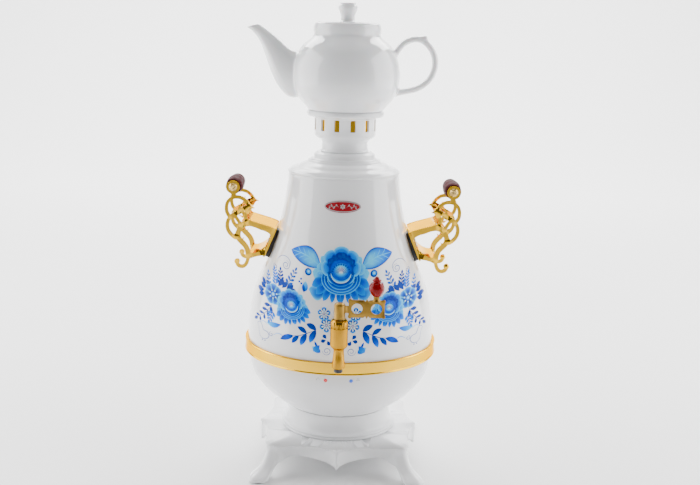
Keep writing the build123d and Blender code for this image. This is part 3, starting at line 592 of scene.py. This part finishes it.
def stroke_axes(root, tip):
    """Start, run and unit side direction of a stroke from root to tip."""
    ax, az = tip[0] - root[0], tip[1] - root[1]
    reach = sqrt(ax * ax + az * az)
    return (*root, ax, az, -az / reach, ax / reach)


class Painting:
    """Brush strokes laid on the front of the body. Places are (x, z) in mm, as seen from the front."""

    def __init__(self, sizes):
        self.bm = bmesh.new()
        self.paint = self.bm.verts.layers.float_color.new("Paint")
        self.stroke = self.bm.loops.layers.uv.new("Stroke")
        self.first, self.step = sizes.lift / MM, sizes.coat / MM
        self.count = 0
        c = looks()
        self.cobalt, self.blue, self.sky, self.mist = (tuple(v) for v in (c.cobalt, c.blue, c.sky, c.mist))
        self.white = tuple(c.enamel)
        self.grey = (0.1, 0.14, 0.42)

    def patch(self, across, along, place, shade, coat):
        """A strip of faces: place and shade take s (-1 to 1 across) and t (0 to 1 along)."""
        self.count += 1
        lift = self.first + self.step * coat + 0.0004 * (self.count % 50)
        made = bmesh.ops.create_grid(self.bm, x_segments=across, y_segments=along, size=0.5)
        verts = made["verts"]
        where = {v: (2 * v.co.x, v.co.y + 0.5) for v in verts}
        for v, (s, t) in where.items():
            v[self.paint] = (*shade(s, t), 1.0)
            v.co = on_body(*place(s, t), lift)
        faces = {face for v in verts for face in v.link_faces}
        for face in faces:
            for loop in face.loops:
                s, t = where[loop.vert]
                loop[self.stroke].uv = (s / 2 + 0.5 + self.count * 0.37, t)
            face.normal_update()
            middle = face.calc_center_median()
            if face.normal.x * middle.x + face.normal.y * middle.y < 0:
                face.normal_flip()

    def petal(self, root, tip, width, colours, coat, fullness=1.0, bend=0.0, edge=None, across=6, along=9):
        """One stroke from root to tip; fullness moves its widest place towards the tip."""
        rx, rz, ax, az, nx, nz = stroke_axes(root, tip)

        def place(s, t):
            half = width / 2 * max(sin(pi * min(max(t, 0.004), 0.996) ** fullness), 0) ** 0.72
            side = half * s + bend * sin(pi * t)
            return rx + ax * t + nx * side, rz + az * t + nz * side

        def shade(s, t):
            inner = mixed(colours, t)
            if edge is None:
                return inner
            rim = max(abs(s) ** 3, t ** 8 if fullness > 1 else 0)
            return mixed([inner, edge], rim)

        self.patch(across, along, place, shade, coat)

    def ribbon(self, points, width, rgb, coat, steps=5):
        """A thin line of even colour that tapers at both ends."""
        run = smooth_run(points, steps)
        last = len(run) - 1

        def place(s, t):
            i = min(int(t * last + 0.5), last)
            (x0, z0), (x1, z1) = run[max(i - 1, 0)], run[min(i + 1, last)]
            reach = sqrt((x1 - x0) ** 2 + (z1 - z0) ** 2)
            half = width / 2 * (0.35 + 0.65 * sin(pi * t))
            return run[i][0] - (z1 - z0) / reach * half * s, run[i][1] + (x1 - x0) / reach * half * s

        self.patch(1, last, place, lambda s, t: rgb, coat)

    def line(self, run, width, rgb, coat):
        """A thin line of even width through every point given."""
        last = len(run) - 1

        def place(s, t):
            i = min(int(t * last + 0.5), last)
            (x0, z0), (x1, z1) = run[max(i - 1, 0)], run[min(i + 1, last)]
            reach = sqrt((x1 - x0) ** 2 + (z1 - z0) ** 2)
            off = width / 2 * s
            return run[i][0] - (z1 - z0) / reach * off, run[i][1] + (x1 - x0) / reach * off

        self.patch(1, last, place, lambda s, t: rgb, coat)

    def disc(self, centre, radius, colours, coat, squash=1.0, around=20, rings=5):
        """A round dab; radius is a number or a function of the angle."""
        size = radius if callable(radius) else lambda angle: radius

        def place(s, t):
            angle = pi * s
            reach = size(angle) * max(t, 0.01)
            return centre[0] + reach * sin(angle), centre[1] + reach * cos(angle) * squash

        self.patch(around, rings, place, lambda s, t: mixed(colours, t), coat)

    def crescent(self, centre, radius, start, end, thick, colours, coat, squash=1.0, turn=0.0):
        """A bowed petal along part of a circle; angles in degrees, 0 up, clockwise. Colours go outwards."""

        def place(s, t):
            angle = radians(start + (end - start) * t)
            reach = radius + thick * (s + 1) / 2 * sin(pi * min(max(t, 0.01), 0.99)) ** 0.7
            x, z = reach * sin(angle), reach * cos(angle) * squash
            return centre[0] + x * cos(turn) + z * sin(turn), centre[1] + z * cos(turn) - x * sin(turn)

        self.patch(7, 22, place, lambda s, t: mixed(colours, (s + 1) / 2), coat)

    # ------------------------------------------------------------ motifs
    def rose(self, centre, half, lean, lobes, coat):
        """Open rose: side petals, a fringe, a bowl of nested petals, and a ruffled cup with a pale heart."""
        turn = radians(lean)
        cobalt, blue, sky, mist, white = self.cobalt, self.blue, self.sky, self.mist, self.white

        def at(angle, reach, middle=centre):
            a = radians(angle) + turn
            return middle[0] + reach * half * sin(a), middle[1] + reach * half * cos(a)

        for angle, reach, width in ((100, 1.3, 0.66), (74, 1.22, 0.6), (52, 1.26, 0.5)):
            for sign in (1, -1):
                self.petal(at(sign * angle, 0.5), at(sign * angle, reach), half * width,
                           [blue, blue, sky, mist], coat, fullness=1.5, edge=mist)
        fringe = ((112, 1.5, 0.44), (128, 1.5, 0.4), (146, 1.46, 0.34), (162, 1.34, 0.26), (178, 1.28, 0.22))
        for angle, reach, width in fringe:
            for sign in (1, -1):
                self.petal(at(sign * angle, 0.5), at(sign * angle, reach), half * width,
                           [cobalt, cobalt, blue, sky], coat + 1, fullness=1.6, edge=sky,
                           bend=sign * half * 0.06)
        bowl = at(180, 0.08)
        for i, (reach, thick) in enumerate(((0.84, 0.26), (0.72, 0.24), (0.58, 0.22))):
            self.crescent(bowl, half * reach, 78 + 5 * i, 282 - 5 * i, half * thick,
                          [cobalt, cobalt, blue, blue, sky, mist], coat + 2 + i, squash=0.76, turn=turn)
        cup = at(0, 0.4)

        def ruffle(angle):
            return half * (0.84 + 0.14 * abs(cos(lobes * (angle - turn) / 2)) ** 0.6)

        self.disc(cup, ruffle, [cobalt, cobalt, cobalt, cobalt, cobalt, blue, sky, mist], coat + 5,
                  squash=0.92, around=84, rings=14)
        self.disc(at(0, 0.34), lambda angle: 0.76 * ruffle(angle), [cobalt, cobalt], coat + 6,
                  squash=0.92, around=84, rings=3)
        for lobe in range(lobes):
            angle = 360 * lobe / lobes
            if abs((angle + 180) % 360 - 180) < 140:
                self.petal(at(angle, 0.58, cup), at(angle, 0.8, cup), half * 0.36, [blue, sky], coat + 6,
                           fullness=1.2, across=4, along=6)
        heart = at(0, 0.2)
        self.disc(heart, half * 0.56, [white, white, mist, sky, blue, blue, cobalt], coat + 7,
                  squash=0.94, around=40, rings=12)
        low = at(0, 0.02)
        for angle in range(-70, 71, 14):
            stamen = [at(angle, 0.12, low), at(angle, 0.34, low)]
            self.ribbon(stamen, half * 0.035, self.grey, coat + 8, steps=3)
        for angle in range(-90, 91, 15):
            self.disc(at(angle, 0.44, low), half * 0.04, [cobalt, cobalt], coat + 8, around=8, rings=2)
        self.crescent(heart, half * 0.5, 108, 252, half * 0.14, [sky, mist, white], coat + 8,
                      squash=0.94, turn=turn)
        self.crescent(heart, half * 0.62, 100, 260, half * 0.16, [cobalt, cobalt, blue, sky], coat + 9,
                      squash=0.96, turn=turn)

    def big_leaf(self, root, tip, width, bend, coat):
        """Broad leaf, dark along one edge, with a pale midrib and side veins."""
        self.petal(root, tip, width + 1.6, [self.grey, self.cobalt, self.grey], coat, bend=bend,
                   across=8, along=14)
        self.petal(root, tip, width, [self.sky, self.mist, self.sky, self.blue], coat + 1, bend=bend,
                   edge=self.blue, across=8, along=14)
        rx, rz, ax, az, nx, nz = stroke_axes(root, tip)

        def spot(t, side):
            off = bend * sin(pi * t) + side * width / 2
            return rx + ax * t + nx * off, rz + az * t + nz * off

        self.ribbon([spot(t, 0) for t in (0, 0.25, 0.5, 0.75, 0.97)], 0.9, self.mist, coat + 2)
        for t in (0.2, 0.36, 0.52, 0.68):
            for side in (0.62, -0.62):
                vein = [spot(t, 0), spot(t + 0.1, side * 0.5), spot(t + 0.17, side)]
                self.ribbon(vein, 0.5, self.mist, coat + 2, steps=3)

    def sprig(self, root, tip, pairs, size, colours, coat, bend=0.0, stem=None):
        """Stem with pairs of small leaves and one at the end."""
        rx, rz, ax, az, nx, nz = stroke_axes(root, tip)
        ux, uz = nz, -nx

        def spot(t):
            return rx + ax * t + nx * bend * sin(pi * t), rz + az * t + nz * bend * sin(pi * t)

        self.ribbon([spot(t) for t in (0, 0.33, 0.66, 1)], 0.55, stem or colours[0], coat)
        for i in range(pairs):
            t = (i + 0.4) / pairs
            x, z = spot(t)
            leaf = size * (1.1 - 0.45 * t)
            for side in (1, -1):
                end = (x + (ux * 0.72 + nx * 0.7 * side) * leaf, z + (uz * 0.72 + nz * 0.7 * side) * leaf)
                self.petal((x, z), end, leaf * 0.48, colours, coat + 1, fullness=1.4, across=4, along=6)
        x, z = spot(1)
        end = (x + ux * size * 0.8, z + uz * size * 0.8)
        self.petal((x, z), end, size * 0.42, colours, coat + 1, across=4, along=6)

    def blossom(self, centre, half, petals, coat, outline=False, turn=0.0):
        """Small flower of round petals about a ringed eye."""
        x, z = centre

        def at(a, reach):
            return x + half * reach * sin(a), z + half * reach * cos(a)

        for i in range(petals):
            a = 2 * pi * i / petals + turn
            root = at(a, 0.22)
            if outline:
                self.petal(root, at(a, 1), half * 0.78, [self.mist, self.sky], coat, fullness=1.5,
                           across=4, along=6)
                self.petal(root, at(a, 0.86), half * 0.62, [self.cobalt, self.cobalt, self.blue], coat + 1,
                           fullness=1.5, across=4, along=6)
                self.petal(root, at(a, 0.76), half * 0.26, [self.mist, self.white], coat + 2,
                           fullness=1.4, across=4, along=6)
            else:
                self.petal(root, at(a, 1), half * 0.84, [self.cobalt, self.cobalt, self.blue, self.sky], coat,
                           fullness=1.6, edge=self.mist, across=6, along=8)
        eye = [self.white, self.cobalt] if outline else [self.white, self.mist, self.blue, self.cobalt]
        self.disc(centre, half * (0.2 if outline else 0.32), eye, coat + 3, around=16, rings=4)

    def berry(self, centre, radius, coat):
        self.disc(centre, radius, [self.cobalt, self.cobalt], coat, around=20, rings=2)
        self.disc((centre[0] + radius * 0.1, centre[1] + radius * 0.1), radius * 0.74,
                  [self.white, self.mist, self.sky, self.blue], coat + 1, around=20, rings=4)

    def curl(self, start, size, turns, hand, coat, aim=0.0):
        """Fine spiral tendril."""
        x, z = start
        points = []
        steps = int(turns * 9)
        for i in range(steps + 1):
            a = radians(aim) + hand * 2 * pi * i / 9
            reach = size * (1 - 0.8 * i / steps)
            points.append((x + reach * sin(a), z + reach * cos(a)))
        self.ribbon(points, 0.7, self.grey, coat, steps=3)


def lay_painting(name, painting, node, finish):
    """Makes the strokes a piece that lies on a CAD node."""
    finish_piece(name, painting.bm, NODE_BODY[node], finish, crease=180, outward=False)


def half_painting(p, sign, sizes):
    """Everything that is repeated on both sides of the middle rose."""

    def m(x, z):
        return (sign * x, z)

    c, b, s, w = p.cobalt, p.blue, p.sky, p.mist
    p.big_leaf(m(21.5, 236), m(53, 249), 18.5, sign * 3.4, 0)
    p.petal(m(12, 226), m(29.5, 231), 17, [b, s, w], 0, fullness=1.4, edge=w, bend=sign * 3)
    p.petal(m(13, 215), m(33, 213.5), 14, [c, b, s], 1, fullness=1.4, edge=w, bend=sign * -4)
    p.berry(m(34.2, 230), 3.7, 1)
    p.petal(m(37.6, 210.6), m(36.6, 220.6), 6.4, [b, s, w], 1, fullness=0.8)
    p.petal(m(37.9, 209.8), m(39.4, 217.6), 3.0, [c, b], 2)
    for x, z in ((41.6, 222.4), (43.4, 219.6), (41.2, 218.0)):
        p.disc(m(x, z), 1.1, [c, b], 1, around=10, rings=2)
    # sprigs that rise from the side roses
    p.sprig(m(69, 211), m(71.6, 224.6), 5, 5.0, [b, s], 0, bend=sign * 1.0)
    p.sprig(m(63, 212), m(64.4, 225.4), 4, 5.2, [c, c], 1)
    p.sprig(m(56.5, 213), m(48.4, 228.6), 4, 5.6, [(0.02, 0.12, 0.42), b], 0)
    p.sprig(m(77, 208), m(78.6, 219), 3, 4.2, [b, s], 0)
    # dark leaves at the outer edge
    for root, tip, width in (
        (m(80, 205), m(86.5, 207.6), 3.6), (m(82, 202.4), m(90.4, 201.2), 3.8),
        (m(76, 207.4), m(79.6, 212.4), 3.6), (m(80.4, 208), m(85.6, 212.6), 3.2),
        (m(81.4, 199.4), m(88.2, 196.6), 3.4), (m(62, 210), m(56, 216.6), 3.6),
        (m(66.4, 210.6), m(60.4, 218.4), 3.8), (m(57, 210.4), m(49.6, 214.8), 4.2),
        (m(53.6, 209.4), m(46.4, 209.6), 3.4),
    ):
        p.petal(root, tip, width * 1.35, [c, c, c], 1, fullness=1.3, across=4, along=7)
    p.sprig(m(72, 192), m(88.6, 173.4), 4, 7.6, [c, c], 1, bend=sign * -1.6, stem=c)
    p.sprig(m(71, 186), m(74.6, 175.4), 3, 6.0, [b, s], 1)
    p.petal(m(78, 171.6), m(62, 173.2), 5.6, [w, s, b], 1, bend=sign * 1.4)
    p.blossom(m(71.4, 201.6), 10.4, 7, 1)
    # lower branch
    p.ribbon([m(24, 174), m(33.8, 169.2), m(41.5, 166), m(48.5, 164.8)], 0.8, c, 1)
    for root, tip, width, colours in (
        (m(24, 174), m(34.2, 179.2), 5.8, [c, c, c]), (m(24.3, 173.4), m(30.6, 160.0), 6.2, [c, c, b, s]),
        (m(33.8, 169.4), m(43.6, 175.0), 5.0, [c, c, c]), (m(34, 168.6), m(40.2, 156.0), 6.0, [c, c, b, s]),
        (m(42, 165.8), m(49.4, 157.0), 4.8, [c, c, b]), (m(47.8, 164.8), m(62, 158.6), 5.8, [c, b, c]),
    ):
        p.petal(root, tip, width, colours, 2, across=5, along=9, bend=sign * 0.5)
    p.blossom(m(16.4, 190.8), 7.0, 5, 1, outline=True)
    p.blossom(m(13.6, 179.2), 7.4, 5, 1, outline=True, turn=0.6)
    for angle in (38, 112, 205):
        a = radians(angle) * sign
        root = (sign * 12.6 + 1.1 * sin(a), 164.6 + 1.1 * cos(a))
        tip = (sign * 12.6 + 6.8 * sin(a), 164.6 + 6.4 * cos(a))
        p.petal(root, tip, 4.0, [c, c, c], 1, fullness=1.5, across=4, along=6)
    p.petal(m(19.2, 150.8), m(27.8, 156.2), 6.4, [b, s, w], 1, fullness=0.9)
    p.petal(m(26.6, 151.2), m(20.2, 158.2), 5.4, [s, b], 2, fullness=0.9)
    p.petal(m(22.6, 155.8), m(25.4, 162.0), 2.4, [c, b], 1)
    # fine line work
    p.curl(m(12.6, 152.6), 4.6, 1.6, sign, 0, aim=90 * sign)
    p.curl(m(58.6, 232.4), 4.6, 1.7, -sign, 0)
    p.ribbon([m(68.6, 236), m(63.6, 240.6), m(57.6, 240.4), m(53.8, 236.2), m(54.6, 231.8)], 0.65, p.grey, 0)
    p.curl(m(70.6, 228.4), 2.6, 1.4, sign, 0)
    p.ribbon([m(70, 160.5), m(64.8, 163.8), m(60.4, 162.6), m(56.4, 160.2)], 0.7, s, 0)
    p.ribbon([m(86, 169), m(81, 171.6), m(76.6, 169)], 0.6, s, 0)
    # a small outlined songbird
    body = [m(87, 163.6), m(88.6, 166.8), m(86.2, 169.2), m(83.6, 167.6), m(81.4, 162.6), m(76.8, 161.6),
            m(74.8, 157.8), m(77.6, 154.0), m(82.4, 153.0), m(85.8, 155.8), m(87, 163.6)]
    p.ribbon(body, 0.7, p.grey, 0, steps=4)
    p.curl(m(72.4, 160.6), 2.6, 1.3, sign, 0)
    for x in (79.4, 82.4):
        p.disc(m(x, 151.6), 0.7, [c, c], 0, around=8, rings=2)
    p.rose(m(50.4, 193.4), sizes.side_rose / MM, 14 * sign, 9, 2)


class SAMOVAR_OT_painting(bpy.types.Operator):
    """Lays the blue flower painting on the front of the body, stroke by stroke"""

    bl_idname = "samovar.painting"
    bl_label = "Flower painting"

    def execute(self, context):
        sizes = context.scene.samovar_paint
        painting = Painting(sizes)
        for sign in (-1, 1):
            half_painting(painting, sign, sizes)
        painting.rose((0, 229.5), sizes.rose / MM, 0, 7, 2)
        bmesh.ops.remove_doubles(painting.bm, verts=painting.bm.verts, dist=4e-7)
        lay_painting("flower_painting", painting, "body_shell", "blue_paint")
        return {"FINISHED"}


# ---------------------------------------------------------------- moulded white parts
class SAMOVAR_OT_white_parts(bpy.types.Operator):
    """Finishes the stand, pedestal, bowl, lid and crown"""

    bl_idname = "samovar.white_parts"
    bl_label = "Stand, bowl, lid and crown"

    def execute(self, context):
        for node in ("base_stand", "pedestal", "lower_bowl", "samovar_lid", "crown"):
            refined(node, "moulded_white")
        refined("foot_pads", "black_rubber")
        refined("crown_liner", "band_gold")
        return {"FINISHED"}


class SAMOVAR_OT_teapot(bpy.types.Operator):
    """Casts the teapot as one soft skin, and its lid"""

    bl_idname = "samovar.teapot"
    bl_label = "Porcelain teapot"

    def execute(self, context):
        pot = refined("teapot_body", "porcelain", crease=180)
        skin = pot.modifiers.new("Skin", "REMESH")
        skin.mode = "VOXEL"
        skin.voxel_size = 1.15 * MM
        skin.use_smooth_shade = True
        slip = pot.modifiers.new("Slip", "SMOOTH")
        slip.factor = 0.5
        slip.iterations = 9
        refined("teapot_lid", "porcelain", crease=60)
        return {"FINISHED"}


class SAMOVAR_OT_handles(bpy.types.Operator):
    """Finishes both gilt brackets with their scrolls, grips, bolts and screws"""

    bl_idname = "samovar.handles"
    bl_label = "Side handles"

    def execute(self, context):
        for side in ("right", "left"):
            for part in ("handle_bracket", "front_plate", "back_plate"):
                refined(f"{side}_{part}", "polished_gold")
            refined(f"{side}_grip", "lacquered_grip", crease=25)
            refined(f"{side}_handle_gasket", "black_rubber")
            refined(f"{side}_grip_bolt", "screw_brass")
            refined(f"{side}_bracket_screws", "steel")
        return {"FINISHED"}


class SAMOVAR_OT_tap(bpy.types.Operator):
    """Finishes the tap, its turning lever and its red knob"""

    bl_idname = "samovar.tap"
    bl_label = "Tap"

    def execute(self, context):
        for node in ("tap_body", "tap_bonnet", "tap_flange"):
            refined(node, "tap_metal")
        refined("tap_lever", "lever_metal")
        refined("tap_knob", "knob_plastic")
        refined("tap_gasket", "black_rubber")
        refined("tap_sleeve", "black_plastic")
        for node in ("tap_plug", "tap_nut"):
            refined(node, "screw_brass")
        return {"FINISHED"}


MARK_Z = 120.7
MAINS_MARK_X = -21.1
CUP_MARK_X = 20.5
BADGE_FACE = 0.92  # how far the badge stands out from the body


class SAMOVAR_OT_controls(bpy.types.Operator):
    """Finishes the lamps with their marks, the switch, the inlet and the badge"""

    bl_idname = "samovar.controls"
    bl_label = "Lamps, switch, inlet and badge"

    def execute(self, context):
        refined("power_lamp", "red_lens")
        refined("warm_lamp", "blue_lens")
        for node in ("power_inlet", "switch_frame", "switch_rocker"):
            refined(node, "black_plastic")
        refined("inlet_pins", "steel")
        refined("badge", "badge_red")
        self.marks(context.scene.samovar_paint)
        self.badge_ornament(context.scene.samovar_paint)
        return {"FINISHED"}

    @staticmethod
    def marks(sizes):
        """A mains mark beside one lamp and a warm cup beside the other."""
        marks = Painting(sizes)
        dark = (0.1, 0.1, 0.12)
        x, z = MAINS_MARK_X, MARK_Z
        arc = [(x + 1.7 * sin(a), z + 1.7 * cos(a)) for a in (radians(40 + 28 * i) for i in range(11))]
        marks.ribbon(arc, 0.5, dark, 0)
        marks.ribbon([(x, z + 0.2), (x, z + 1.2), (x, z + 2.2)], 0.5, dark, 0)
        x = CUP_MARK_X
        cup = [(x - 1.6, z + 0.2), (x - 1.3, z - 1.4), (x, z - 1.9), (x + 1.3, z - 1.4), (x + 1.6, z + 0.2)]
        marks.ribbon(cup, 0.5, dark, 0)
        marks.ribbon([cup[0], (x, z + 0.1), cup[-1]], 0.45, dark, 0)
        for side in (-0.7, 0.7):
            marks.ribbon([(x + side, z + 0.9), (x + side + 0.3, z + 1.5), (x + side, z + 2.2)], 0.4, dark, 0)
        lay_painting("lamp_marks", marks, "lower_bowl", "mark_grey")

    @staticmethod
    def badge_ornament(sizes):
        """Silver rim with a rosette between two leafy scrolls."""
        low, high = (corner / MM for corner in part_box("badge"))
        z, half_x, half_z = (low.z + high.z) / 2, (high.x - low.x) / 2, (high.z - low.z) / 2
        ornament = Painting(sizes)
        ornament.first += BADGE_FACE
        silver = (0.9, 0.9, 0.92)
        around = [2 * pi * i / 36 for i in range(37)]
        rim = [((half_x - 0.9) * sin(a), z + (half_z - 0.9) * cos(a)) for a in around]
        ornament.line(rim, 0.9, silver, 0)
        for i in range(6):
            a = radians(60 * i)
            root, tip = ((reach * sin(a), z + reach * cos(a)) for reach in (0.5, 2.9))
            ornament.petal(root, tip, 1.5, [silver, silver], 0, across=3, along=6)
        for sign in (-1, 1):
            stem = ((4.0, -0.6), (6.6, 0.9), (9.6, -0.7), (12.4, 0.4), (14.6, 0.1))
            ornament.ribbon([(sign * x, z + up) for x, up in stem], 0.5, silver, 0)
            for x, up, lean in ((5.6, 1, 1.4), (8.2, -1, 1.5), (10.8, 1, 1.4), (13.0, -1, 1.1)):
                root, tip = (sign * x, z + 0.2 * up), (sign * (x + lean), z + 2.5 * up)
                ornament.petal(root, tip, 1.2, [silver, silver], 0, across=3, along=6)
        lay_painting("badge_ornament", ornament, "badge", "badge_silver")


class SAMOVAR_OT_hidden_parts(bpy.types.Operator):
    """Gives the tank, heater, controls and seals inside their materials"""

    bl_idname = "samovar.hidden_parts"
    bl_label = "Inner parts"

    inner = {
        "inner_tank": "tank_steel", "tank_seal": "silicone", "lid_seal": "silicone",
        "heater_plate": "cast_aluminium", "heater_element": "steel", "thermostat": "black_plastic",
        "thermal_fuse": "steel", "lamp_board": "board", "bottom_cover": "black_plastic",
        "base_screws": "steel",
    }

    def execute(self, context):
        for node, finish in self.inner.items():
            mesh = frame["nodes"][node].data
            mesh.materials.clear()
            mesh.materials.append(material(finish))
        return {"FINISHED"}


# ---------------------------------------------------------------- stage
CAMERA_PLACE = (8.47, -1155.9, 480.1)
CAMERA_TILT = 78.604
CAMERA_ROLL = 1.49
CAMERA_LENS = 54.73
SENSOR = 36.0


def panel_light(name, place, target, size, watts):
    light = bpy.data.lights.new(name, "AREA")
    light.shape = "RECTANGLE"
    light.size, light.size_y = size
    light.energy = watts
    lamp = bpy.data.objects.new(name, light)
    lamp.location = place
    lamp.rotation_euler = (Vector(target) - Vector(place)).to_track_quat("-Z", "Y").to_euler()
    bpy.context.scene.collection.objects.link(lamp)


class SAMOVAR_OT_stage(bpy.types.Operator):
    """Sets the pale table with its backdrop, the room light and the camera"""

    bl_idname = "samovar.stage"
    bl_label = "Stage"

    def execute(self, context):
        lights = context.scene.samovar_stage
        self.backdrop()
        self.room(context.scene, lights)
        for side in (-1, 1):
            panel_light("Side panel", (side * 1.15, 0.02, 0.5), (0, 0, 0.28), (1.3, 1.5), lights.sides)
        panel_light("Top panel", (0, -0.1, 1.4), (0, 0, 0.3), (0.9, 0.9), lights.top)
        panel_light("Backdrop panel", (0, 2.2, 2.2), (0, 2.0, 0), (4.5, 2.2), lights.behind)
        data = bpy.data.cameras.new("Camera")
        data.lens, data.sensor_width = CAMERA_LENS, SENSOR
        camera = bpy.data.objects.new("Camera", data)
        camera.matrix_world = (
            Matrix.Translation(Vector(CAMERA_PLACE) * MM)
            @ Matrix.Rotation(radians(CAMERA_TILT), 4, "X")
            @ Matrix.Rotation(radians(CAMERA_ROLL), 4, "Z"))
        context.scene.collection.objects.link(camera)
        context.scene.camera = camera
        return {"FINISHED"}

    @staticmethod
    def room(scene, lights):
        """White room, darker high up before the object, so that glossy fronts show a soft grey strip."""
        world = bpy.data.worlds.new("Room")
        world.use_nodes = True
        nodes, links = world.node_tree.nodes, world.node_tree.links
        toward = nodes.new("ShaderNodeVectorMath")
        toward.operation = "DOT_PRODUCT"
        toward.inputs[1].default_value = Vector((0, -0.86, 0.5)).normalized()
        fall = nodes.new("ShaderNodeMapRange")
        fall.interpolation_type = "SMOOTHSTEP"
        fall.inputs["From Min"].default_value = 0.62
        fall.inputs["From Max"].default_value = 0.93
        fall.inputs["To Min"].default_value = lights.world
        fall.inputs["To Max"].default_value = lights.world * (1 - lights.shade)
        links.new(nodes.new("ShaderNodeTexCoord").outputs["Generated"], toward.inputs[0])
        links.new(toward.outputs["Value"], fall.inputs["Value"])
        links.new(fall.outputs["Result"], nodes["Background"].inputs["Strength"])
        nodes["Background"].inputs["Color"].default_value = (1, 1, 1, 1)
        scene.world = world

    @staticmethod
    def backdrop():
        """Table that runs on into a curved wall."""
        turn_r, wall_y, wide = 1.2, 3.2, 30.0
        angles = [pi / 24 * i for i in range(13)]
        bend = [(wall_y - turn_r + turn_r * sin(a), turn_r - turn_r * cos(a)) for a in angles]
        profile = [(-wide, 0.0), *bend, (wall_y, 9.0)]
        bm = bmesh.new()
        rows = [[bm.verts.new((x, y, z)) for x in (-wide, wide)] for y, z in profile]
        for near, far in zip(rows, rows[1:]):
            bm.faces.new((near[0], near[1], far[1], far[0]))
        mesh = bpy.data.meshes.new("backdrop")
        bm.to_mesh(mesh)
        bm.free()
        mesh.shade_smooth()
        sheet = bpy.data.objects.new("backdrop", mesh)
        paper = Finish("backdrop_paper").tone((0.93, 0.93, 0.93), (0.91, 0.91, 0.91), 3, 0.4)
        mesh.materials.append(paper.gloss(0.6, 0.75, 4).material)
        bpy.context.scene.collection.objects.link(sheet)


# ---------------------------------------------------------------- add-on
OPERATORS = (
    SAMOVAR_OT_stage, SAMOVAR_OT_hidden_parts, SAMOVAR_OT_white_parts, SAMOVAR_OT_shell, SAMOVAR_OT_band,
    SAMOVAR_OT_handles, SAMOVAR_OT_tap, SAMOVAR_OT_controls, SAMOVAR_OT_teapot, SAMOVAR_OT_painting,
)


class SAMOVAR_PT_panel(bpy.types.Panel):
    """Buttons that build each group of pieces"""

    bl_label = "Samovar"
    bl_idname = "SAMOVAR_PT_panel"
    bl_space_type = "VIEW_3D"
    bl_region_type = "UI"
    bl_category = "Samovar"

    def draw(self, context):
        for operator in OPERATORS:
            self.layout.operator(operator.bl_idname)


PROPERTIES = {
    "samovar_colours": FinishColours,
    "samovar_paint": PaintSizes,
    "samovar_stage": StageLights,
    "samovar_turning": TurnedPieces,
}
CLASSES = (*PROPERTIES.values(), *OPERATORS, SAMOVAR_PT_panel)


def register():
    for cls in CLASSES:
        bpy.utils.register_class(cls)
    for name, group in PROPERTIES.items():
        setattr(bpy.types.Scene, name, PointerProperty(type=group))


def unregister():
    for name in PROPERTIES:
        delattr(bpy.types.Scene, name)
    for cls in reversed(CLASSES):
        bpy.utils.unregister_class(cls)


def main():
    register()
    for operator in OPERATORS:
        getattr(bpy.ops.samovar, operator.bl_idname.split(".")[1])()


if __name__ == "__main__":
    main()
